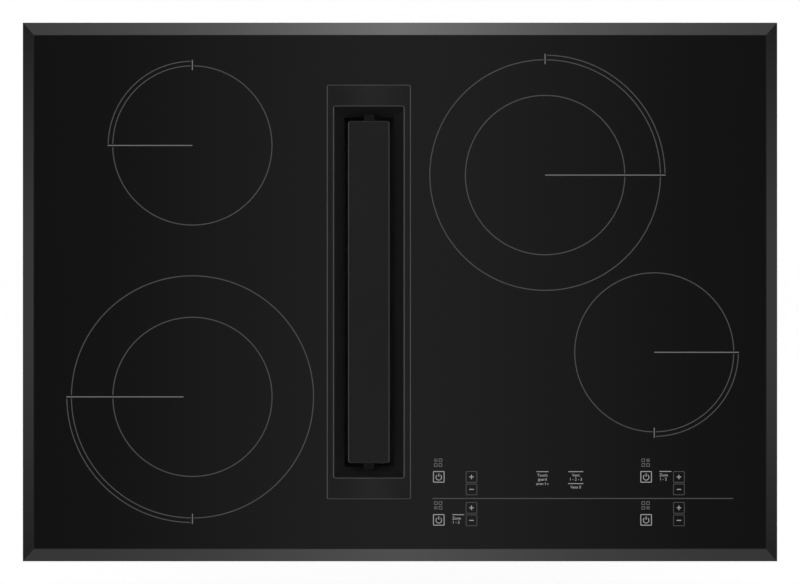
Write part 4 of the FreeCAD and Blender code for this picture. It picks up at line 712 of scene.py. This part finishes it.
def add_weld(bm, place, outward, radius):
    """A spot weld: a low round pad with a dimple, on a sheet at place, in metres."""
    tall = 0.3 * MM
    slope = 0.35 * MM
    rim_width = 0.7 * MM
    dimple = 0.2 * MM
    sunk = 0.1 * tall
    made = bmesh.ops.create_cone(
        bm, cap_ends=True, segments=18, radius1=radius, radius2=radius - slope, depth=tall,
    )
    pad = made["verts"]
    top = max(
        {face for vert in pad for face in vert.link_faces},
        key=lambda face: face.calc_center_median().z,
    )
    rim = bmesh.ops.inset_region(bm, faces=[top], thickness=rim_width, use_even_offset=True)
    bmesh.ops.translate(bm, vec=(0, 0, -dimple), verts=top.verts)
    every = set(pad) | {vert for face in rim["faces"] for vert in face.verts} | set(top.verts)
    turn = outward.to_track_quat("Z", "Y").to_matrix().to_4x4()
    shift = Matrix.Translation(place + outward * (tall / 2 - sunk))
    bmesh.ops.transform(bm, matrix=shift @ turn, verts=list(every))


def add_weld_row(bm, first, last, outward, radius, pitch):
    """Spot welds from first to last, evenly spaced at about the pitch."""
    span = last - first
    count = max(1, round(span.length / pitch))
    for step in range(count + 1):
        add_weld(bm, first + span * (step / count), outward, radius)


def print_levels():
    """Bottom and top of the print, in millimetres."""
    low = GLASS_TOP / MM
    return low, low + bpy.context.scene.cooktop_print.height


def finish_print(*prints):
    """Printed pieces, each from its name, mesh, ink and colour."""
    for name, bm, ink, base in prints:
        finish_piece(name, bm, print_material(ink, base))


# Operators


class CooktopGlass(bpy.types.Operator):
    """The bevelled black glass top with a fine ground arris"""
    bl_idname = "cooktop.glass"
    bl_label = "Glass top"

    def execute(self, context):
        finish = context.scene.cooktop_finish
        material = glass_material("black_glass_polished", finish.glass)
        piece = softened_copy(
            "glass_top", "glass_top_ground", finish.arris, material, slot="black_glass",
            sharpest=4,
        )
        piece.data.shade_flat()
        return {"FINISHED"}


class CooktopZones(bpy.types.Operator):
    """The printed rings, size lines and ticks of the cooking zones"""
    bl_idname = "cooktop.zones"
    bl_label = "Zone print"

    def execute(self, context):
        sizes = context.scene.cooktop_print
        low, high = print_levels()
        rings = bmesh.new()
        lines = bmesh.new()
        for zone in ZONES:
            x, y = zone.at
            outer = zone.rings[0]
            tick_at = 90 if zone.quarter in (0, 90) else 270
            for radius in zone.rings:
                gap = self.gap_angle(sizes, radius)
                stops = sorted((zone.line, tick_at)) if radius == outer else [zone.line]
                for stop, after in zip(stops, [*stops[1:], stops[0] + 360]):
                    add_arc(rings, x, y, radius, sizes.ring, stop + gap, after - gap, low, high)
            arc = outer + sizes.arc_gap
            gap = self.gap_angle(sizes, arc)
            start = zone.quarter + gap
            add_arc(rings, x, y, arc, sizes.ring, start, start + 90 - 2 * gap, low, high)
            side = -1 if zone.line == 180 else 1
            span = arc + LINE_PAST_ARC - zone.start
            middle = x + side * (zone.start + span / 2)
            add_bar(lines, middle, y, span, sizes.line, low, high)
            up = 1 if tick_at == 90 else -1
            add_bar(lines, x, y + up * (outer + TICK_SHIFT), sizes.line, sizes.tick, low, high)
        finish_print(
            ("zone_rings", rings, "print_grey", sizes.dim),
            ("zone_lines", lines, "print_pale", sizes.soft),
        )
        return {"FINISHED"}

    @staticmethod
    def gap_angle(sizes, radius):
        """Half the bare angle that a line leaves in a ring, in degrees."""
        return math.degrees((sizes.line / 2 + sizes.line_break) / radius)


class CooktopKeys(bpy.types.Operator):
    """The printed touch keys, their words and the line between their rows"""
    bl_idname = "cooktop.keys"
    bl_label = "Key print"

    def execute(self, context):
        sizes = context.scene.cooktop_print
        levels = print_levels()
        bright = bmesh.new()
        soft = bmesh.new()
        dim = bmesh.new()
        add_bar(dim, *DIVIDER, sizes.divider, *levels)
        ring_up, radius, *sweep = POWER_RING
        stroke_up, stroke = POWER_STROKE
        for x in POWER_COLUMNS:
            for y in POWER_ROWS:
                add_frame(bright, x, y, sizes.key, sizes.key_line * 1.6, *levels)
                add_arc(bright, x, y + ring_up, radius, POWER_LINE, *sweep, *levels)
                add_bar(bright, x, y + stroke_up, POWER_LINE, stroke, *levels)
        shift = (STEP_LINE + STEP_ARM) / 2
        for x in STEP_COLUMNS:
            for y, mark in STEP_ROWS:
                add_frame(dim, x, y, sizes.key, sizes.key_line * 1.3, *levels)
                add_bar(bright, x, y, STEP_LENGTH, STEP_LINE, *levels)
                if mark == "plus":
                    add_bar(bright, x, y + shift, STEP_LINE, STEP_ARM, *levels)
                    add_bar(bright, x, y - shift, STEP_LINE, STEP_ARM, *levels)
        side = ZONE_MARK_SIDE
        for x, y, filled in ZONE_MARKS:
            for place, (across, up) in enumerate(ZONE_MARK_CORNERS):
                spot = (x + across * ZONE_MARK_REACH, y + up * ZONE_MARK_REACH)
                if place == filled:
                    add_bar(dim, *spot, side, side, *levels)
                else:
                    add_frame(soft, *spot, side, ZONE_MARK_LINE, *levels, corner=0.4)
        for label in LABELS:
            self.add_label(bright, levels, *label)
        add_words(bright, *NOTE, *levels)
        finish_print(
            ("key_marks_bright", bright, "print_bright", sizes.bright),
            ("key_marks_pale", soft, "print_pale_key", sizes.soft),
            ("key_marks_dim", dim, "print_dim_key", sizes.dim),
        )
        return {"FINISHED"}

    @staticmethod
    def add_label(bm, levels, x, y, width, words, align):
        """A bar with a line or two of words under it, in millimetres."""
        add_bar(bm, x, y, width, LABEL_BAR, *levels)
        start = x - width / 2 if align == "LEFT" else x
        for row, word in enumerate(words):
            add_words(bm, word, start, y - WORD_DROP - WORD_STEP * row, WORD_SIZE, *levels, align)


class CooktopGrille(bpy.types.Operator):
    """The lift-out air grille: crowned frame, cover bar and brackets in satin enamel, with painted
    highlights on the edges and painted light low on the slopes
    """
    bl_idname = "cooktop.grille"
    bl_label = "Air grille"

    def execute(self, context):
        finish = context.scene.cooktop_finish
        gloss = enamel_material("black_enamel_gloss", finish.enamel, 0.17, 1.6, 0.000008)
        satin = enamel_material("black_enamel_satin", finish.bar_enamel)
        # Painted highlights: the edge materials colour the rounded edges light grey to show bright
        # lines.
        wear_and_highlight = enamel_material("black_enamel_painted_edge_highlight", finish.edge_highlight_paint, 0.3, 1.5)
        rub_and_highlight = enamel_material("black_enamel_painted_long_highlight", finish.long_edge_highlight_paint, 0.3, 1.5)
        strap = enamel_material("black_enamel_strap", finish.strap_enamel, 0.5, 1.3)
        top = GLASS_TOP - MM
        # The slope material is painted lighter towards the foot, a painted lift of the shade there.
        slope = slope_material(
            "black_enamel_slope", finish.dull_enamel, finish.slope_foot_painted_light, top, GRILLE_FOOT,
        )
        edge = finish.enamel_edge
        where = ("grille", "black_enamel")
        frame_piece = softened_copy(
            "grille_frame", "grille_frame_enamelled", edge, gloss, *where, 25, wear_and_highlight, top,
        )
        frame_piece.data.materials.append(slope)
        frame_piece.data.materials.append(rub_and_highlight)
        # Lengthwise edge faces take the brighter painted highlight.
        low, high = SLOPE_NORMALS
        for face in frame_piece.data.polygons:
            if face.center.z < GLASS_TOP - 0.5 * MM and low < face.normal.z < high:
                face.material_index = SLOPE
            elif face.material_index == EDGE_HIGHLIGHT and self.is_lengthwise(face):
                face.material_index = LONG_EDGE_HIGHLIGHT
        bar = softened_copy(
            "grille_cover_bar", "grille_cover_bar_enamelled", edge * 0.4, satin, *where, 25, wear_and_highlight,
        )
        # Painted highlight on the bar's long rounded edges; its rounded ends stay plain satin.
        low, high = ROUND_NORMALS
        for face in bar.data.polygons:
            if face.center.z > BAR_TOP - 1.2 * MM and low < face.normal.z < high:
                face.material_index = EDGE_HIGHLIGHT if self.is_lengthwise(face) else PLAIN
        softened_copy("grille_brackets", "grille_brackets_enamelled", 0.3, strap, *where)
        return {"FINISHED"}

    @staticmethod
    def is_lengthwise(face):
        """Whether a face runs along the grille, by where it faces."""
        return abs(face.normal.x) > abs(face.normal.y)


class CooktopFilter(bpy.types.Operator):
    """The grease filter's layers of expanded aluminium"""
    bl_idname = "cooktop.filter"
    bl_label = "Filter mesh"

    def execute(self, context):
        finish = context.scene.cooktop_finish
        centre, size, axes = plane_of("filter_mesh")
        pitch = finish.mesh_pitch * MM
        strand = finish.mesh_strand * MM
        rise = 0.8 * (size.z - 3 * MESH_GAUGE)
        bm = bmesh.new()
        for layer in range(MESH_LAYERS):
            level = (layer / (MESH_LAYERS - 1) - 0.5) * rise
            slant = MESH_SLANT if layer % 2 else -MESH_SLANT
            shift = layer * pitch * 0.37
            add_strand_layer(bm, size, level, slant, pitch, strand, shift)
        trim_to(bm, size.x, size.y)
        bmesh.ops.transform(bm, matrix=Matrix.Translation(centre) @ axes, verts=bm.verts)
        material = metal_material("filter_aluminium", (0.55, 0.56, 0.57), 0.4)
        piece = finish_piece("filter_mesh_expanded", bm, material, "filter")
        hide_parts("filter_mesh")
        return {"FINISHED"}


class CooktopCasing(bpy.types.Operator):
    """Finishes of every other node, as it is in the frame"""
    bl_idname = "cooktop.casing"
    bl_label = "Box, ducts and works"

    def execute(self, context):
        finish = context.scene.cooktop_finish
        made = {
            "aluminium": metal_material("mill_aluminium", (0.62, 0.63, 0.64), 0.38),
            "steel": metal_material("plain_steel", (0.42, 0.42, 0.43), 0.34),
            "foam": plastic_material("seal_foam", (0.03, 0.03, 0.03), 0.9),
            "fibre": plastic_material("pressed_fibre", (0.68, 0.66, 0.6), 0.9),
            "ribbon": metal_material("heating_ribbon", (0.25, 0.21, 0.18), 0.55),
            "black_plastic": plastic_material("black_plastic", (0.02, 0.02, 0.02), 0.5),
            "board": plastic_material("circuit_board", (0.02, 0.1, 0.035), 0.4),
            "bronze": metal_material("sintered_bronze", (0.5, 0.33, 0.15), 0.5),
            "black_enamel": enamel_material("black_enamel_plain", finish.enamel),
            "black_glass": glass_material("black_glass_plain", finish.glass),
        }
        for part in frame["record"]["subparts"]:
            name = part["node"]
            slot = part["material_slot"]
            if slot == "galvanised":
                made[slot] = galvanised_material(f"galvanised_{name}", finish.steel, *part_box(name))
            for place in frame["nodes"][name].material_slots:
                place.material = made[slot]
        return {"FINISHED"}


class CooktopMotor(bpy.types.Operator):
    """The motor's shells, its stack of steel sheets, its through-bolts and the capacitor"""
    bl_idname = "cooktop.motor"
    bl_label = "Motor"

    def execute(self, context):
        finish = context.scene.cooktop_finish
        slots = {part["node"]: part["material_slot"] for part in frame["record"]["subparts"]}
        rounded = {"motor_front_bell": 0.5, "motor_rear_bell": 0.5, "capacitor": 0.8}
        for node, edge in rounded.items():
            metal = frame["nodes"][node].material_slots[0].material
            softened_copy(node, f"{node}_rounded", edge, metal, slot=slots[node])
        stack = laminated_material("stator_sheets", (0.4, 0.4, 0.41), finish.lamination * MM)
        for place in frame["nodes"]["motor_stator"].material_slots:
            place.material = stack
        low, high = corners_of(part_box("motor_rear_bell"))
        middle = (low + high) / 2
        radius = (high.z - low.z) / 2 - 7 * MM
        taper = 0.3
        sunk = 0.1
        turn = Matrix.Rotation(math.pi / 2, 4, "Y")
        bm = bmesh.new()
        for angle in map(math.radians, BOLT_ANGLES):
            y = middle.y + radius * math.cos(angle)
            z = middle.z + radius * math.sin(angle)
            for sides, wide, tall, start in BOLT_FORMS:
                form = bmesh.ops.create_cone(
                    bm, cap_ends=True, segments=sides, radius1=wide * MM,
                    radius2=(wide - taper) * MM, depth=tall * MM,
                )
                out = high.x + (start + tall / 2 - sunk) * MM
                shift = Matrix.Translation((out, y, z))
                bmesh.ops.transform(bm, matrix=shift @ turn, verts=form["verts"])
        bolts = metal_material("bolt_steel", (0.5, 0.5, 0.5), 0.3)
        smooth_by_angle(finish_piece("motor_through_bolts", bm, bolts))
        return {"FINISHED"}


class CooktopWelds(bpy.types.Operator):
    """The lap that closes the box's sides, and the spot welds of the box and the plenum"""
    bl_idname = "cooktop.welds"
    bl_label = "Seam and welds"

    def execute(self, context):
        finish = context.scene.cooktop_finish
        radius = finish.weld * MM
        pitch = finish.weld_pitch * MM
        welds = bmesh.new()
        lap = bmesh.new()
        low, high = corners_of(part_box("burner_box"))
        self.weld_box(welds, low, high, radius, pitch)
        self.close_lap(welds, lap, low, high, finish.seam, radius)
        self.weld_plenum(welds, *corners_of(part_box("plenum")), radius, pitch * 0.9)
        sheet = frame["nodes"]["burner_box"].material_slots[0].material
        finish_piece("box_seam", lap, sheet)
        burnt = metal_material("weld_grey", tone(finish.steel, 0.8), 0.5)
        smooth_by_angle(finish_piece("sheet_welds", welds, burnt))
        return {"FINISHED"}

    @staticmethod
    def weld_box(bm, low, high, radius, pitch):
        """A row of welds low on each side of the box, clear of its corners and the plenum."""
        rise = low.z + 5 * MM
        corner = 24 * MM
        clear = 44 * MM
        for side, face in ((-1, low.y), (1, high.y)):
            first = Vector((low.x + corner, face, rise))
            last = Vector((high.x - corner, face, rise))
            add_weld_row(bm, first, last, Vector((0, side, 0)), radius, pitch)
        for side, face in ((-1, low.x), (1, high.x)):
            for end in (-1, 1):
                first = Vector((face, end * clear, rise))
                last = Vector((face, end * (high.y - corner), rise))
                add_weld_row(bm, first, last, Vector((side, 0, 0)), radius, pitch)

    @staticmethod
    def close_lap(bm, lap, low, high, seam, radius):
        """The lap on the box's rear side and the upright row of welds on it."""
        middle = low.x + 150 * MM
        thick = 0.8
        top = -4.0
        foot = low.z / MM + 10
        inset = 7
        add_bar(lap, middle / MM, high.y / MM + thick / 2, seam, thick, foot, top)
        face = high.y + thick * MM
        first = Vector((middle, face, (foot + inset) * MM))
        last = Vector((middle, face, (top - inset) * MM))
        add_weld_row(bm, first, last, Vector((0, 1, 0)), radius, 18 * MM)

    @staticmethod
    def weld_plenum(bm, low, high, radius, pitch):
        """Upright rows of welds near the plenum's folds."""
        flange = 9.2 * MM
        inset = 7 * MM
        wide = high.y - flange - inset
        narrow = wide - 64.5 * MM
        stops = ((wide, -13), (wide, -94), (narrow, -155), (narrow, -270))
        for end in (-1, 1):
            near = [Vector((low.x + flange, end * y, high.z + z * MM)) for y, z in stops]
            far = [Vector((high.x - flange, *stop.yz)) for stop in near]
            for row, side in ((near[:2], -1), (near[2:], -1), (far[:2], 1)):
                add_weld_row(bm, *row, Vector((side, 0, 0)), radius, pitch)


class CooktopStage(bpy.types.Operator):
    """The floor, the lamps, the world and the camera"""
    bl_idname = "cooktop.stage"
    bl_label = "Stage"

    def execute(self, context):
        stage = context.scene.cooktop_stage
        make_floor(stage.floor)
        make_world(stage.world)
        make_cards(stage)
        make_camera(stage)
        context.scene.view_settings.view_transform = "Standard"
        return {"FINISHED"}


# Stage


def add_stage_mesh(name, bm, material):
    piece = new_object(name, bm, material)
    return piece


def make_floor(base):
    """A floor that the camera, gloss and glass see as white, and that keeps its shadow."""
    material, tree = new_material("studio_floor")
    path = add_node(tree, "ShaderNodeLightPath").outputs
    seen = calculate(tree, "MAXIMUM", path["Is Camera Ray"], path["Is Glossy Ray"])
    seen = calculate(tree, "MAXIMUM", seen, path["Is Transmission Ray"])
    strength = calculate(tree, "MULTIPLY", seen, 0.65)
    plain = add_node(tree, "ShaderNodeBsdfDiffuse", Color=(*base, 1.0))
    glow = add_node(tree, "ShaderNodeEmission", Color=WHITE, Strength=strength)
    total = add_node(tree, "ShaderNodeAddShader")
    for socket, made in zip(total.inputs, (plain, glow)):
        fill(tree, socket, made.outputs[0])
    add_node(tree, "ShaderNodeOutputMaterial", Surface=total.outputs["Shader"])
    bm = bmesh.new()
    bmesh.ops.create_grid(bm, x_segments=1, y_segments=1, size=8.0)
    bmesh.ops.translate(bm, vec=(0, 0, FLOOR_Z - 0.5 * MM), verts=bm.verts)
    add_stage_mesh("studio_floor", bm, material)


def make_world(strength):
    """A pale room: white to the camera, plain grey as a light."""
    world = bpy.data.worlds.new("studio")
    bpy.context.scene.world = world
    world.use_nodes = True
    tree = world.node_tree
    tree.nodes.clear()
    path = add_node(tree, "ShaderNodeLightPath").outputs
    room = add_node(tree, "ShaderNodeBackground", Color=WHITE, Strength=strength)
    seen = add_node(tree, "ShaderNodeBackground", Color=WHITE, Strength=1.0)
    both = add_node(tree, "ShaderNodeMixShader")
    sources = (path["Is Camera Ray"], room.outputs[0], seen.outputs[0])
    for socket, source in zip(both.inputs, sources):
        fill(tree, socket, source)
    add_node(tree, "ShaderNodeOutputWorld", Surface=both.outputs["Shader"])


def card_material(name, middle, share, away="X", fall="SMOOTHSTEP", power=1.0):
    """A glowing card whose brightness falls to a share of its middle's towards its edges."""
    material, tree = new_material(name)
    fade = add_node(
        tree, "ShaderNodeMapRange", interpolation_type=fall, From_Max=CARD_REACH, To_Min=1.0,
        To_Max=0.0, Value=calculate(tree, "ABSOLUTE", object_axes(tree)[away]),
    )
    curve = calculate(tree, "POWER", fade.outputs["Result"], power)
    edge = middle * share
    strength = calculate(tree, "MULTIPLY_ADD", curve, middle - edge, edge)
    glow = add_node(tree, "ShaderNodeEmission", Color=WHITE, Strength=strength)
    add_node(tree, "ShaderNodeOutputMaterial", Surface=glow.outputs["Emission"])
    return material


def add_card(name, width, depth, centre, material):
    """A flat card that faces down and is not seen by the camera."""
    bm = bmesh.new()
    bmesh.ops.create_grid(bm, x_segments=1, y_segments=1, size=0.5)
    bmesh.ops.scale(bm, vec=(width, depth, 1), verts=bm.verts)
    bmesh.ops.translate(bm, vec=centre, verts=bm.verts)
    add_stage_mesh(name, bm, material).visible_camera = False


def make_cards(stage):
    """The overhead card that the glass mirrors, and a softbox past each of its edges."""
    card = card_material("overhead_card", stage.overhead, 0.36)
    add_card("overhead_card", 2.5, 2.0, (0, 0, 4.6), card)
    softboxes = (
        ("rear_softbox", 1, stage.rear, 0.29), ("front_softbox", -1, stage.front, 0.43),
    )
    for name, side, middle, share in softboxes:
        glow = card_material(name, middle, share, fall="LINEAR", power=2.0)
        add_card(name, 3.2, 0.9, (0, side * 1.95, 3.2), glow)
    for name, side in (("left_softbox", -1), ("right_softbox", 1)):
        glow = card_material(name, stage.side, 0.05, "Y")
        add_card(name, 0.9, 2.6, (side * 2.25, 0, 3.0), glow)


def make_camera(stage):
    """A long lens straight above the middle of the glass."""
    data = bpy.data.cameras.new("studio_camera")
    data.lens = stage.lens
    data.sensor_width = 36.0
    data.clip_end = 60.0
    camera = bpy.data.objects.new("studio_camera", data)
    camera.location = (0, 0, GLASS_TOP + stage.camera_height)
    bpy.context.collection.objects.link(camera)
    bpy.context.scene.camera = camera


class CooktopPanel(bpy.types.Panel):
    """Lists the sizes, finishes and pieces"""
    bl_idname = "VIEW3D_PT_cooktop"
    bl_label = "Cooktop"
    bl_space_type = "VIEW_3D"
    bl_region_type = "UI"
    bl_category = "Cooktop"

    def draw(self, context):
        layout = self.layout
        for settings in SETTINGS:
            group = getattr(context.scene, settings)
            box = layout.box()
            for name in group.bl_rna.properties.keys():
                if name not in ("rna_type", "name"):
                    box.prop(group, name)
        for piece in PIECES:
            layout.operator(piece.bl_idname)


SETTINGS = {
    "cooktop_print": CooktopPrintSettings,
    "cooktop_finish": CooktopFinishSettings,
    "cooktop_stage": CooktopStageSettings,
}
PIECES = (
    CooktopGlass, CooktopZones, CooktopKeys, CooktopGrille, CooktopFilter, CooktopCasing,
    CooktopMotor, CooktopWelds, CooktopStage,
)


def register():
    for name, group in SETTINGS.items():
        bpy.utils.register_class(group)
        setattr(bpy.types.Scene, name, bpy.props.PointerProperty(type=group))
    for piece in PIECES:
        bpy.utils.register_class(piece)
    bpy.utils.register_class(CooktopPanel)


def unregister():
    bpy.utils.unregister_class(CooktopPanel)
    for piece in reversed(PIECES):
        bpy.utils.unregister_class(piece)
    for name, group in SETTINGS.items():
        delattr(bpy.types.Scene, name)
        bpy.utils.unregister_class(group)


def main():
    register()
    bpy.ops.cooktop.glass()
    bpy.ops.cooktop.zones()
    bpy.ops.cooktop.keys()
    bpy.ops.cooktop.grille()
    bpy.ops.cooktop.filter()
    bpy.ops.cooktop.casing()
    bpy.ops.cooktop.motor()
    bpy.ops.cooktop.welds()
    bpy.ops.cooktop.stage()


if __name__ == "__main__":
    main()
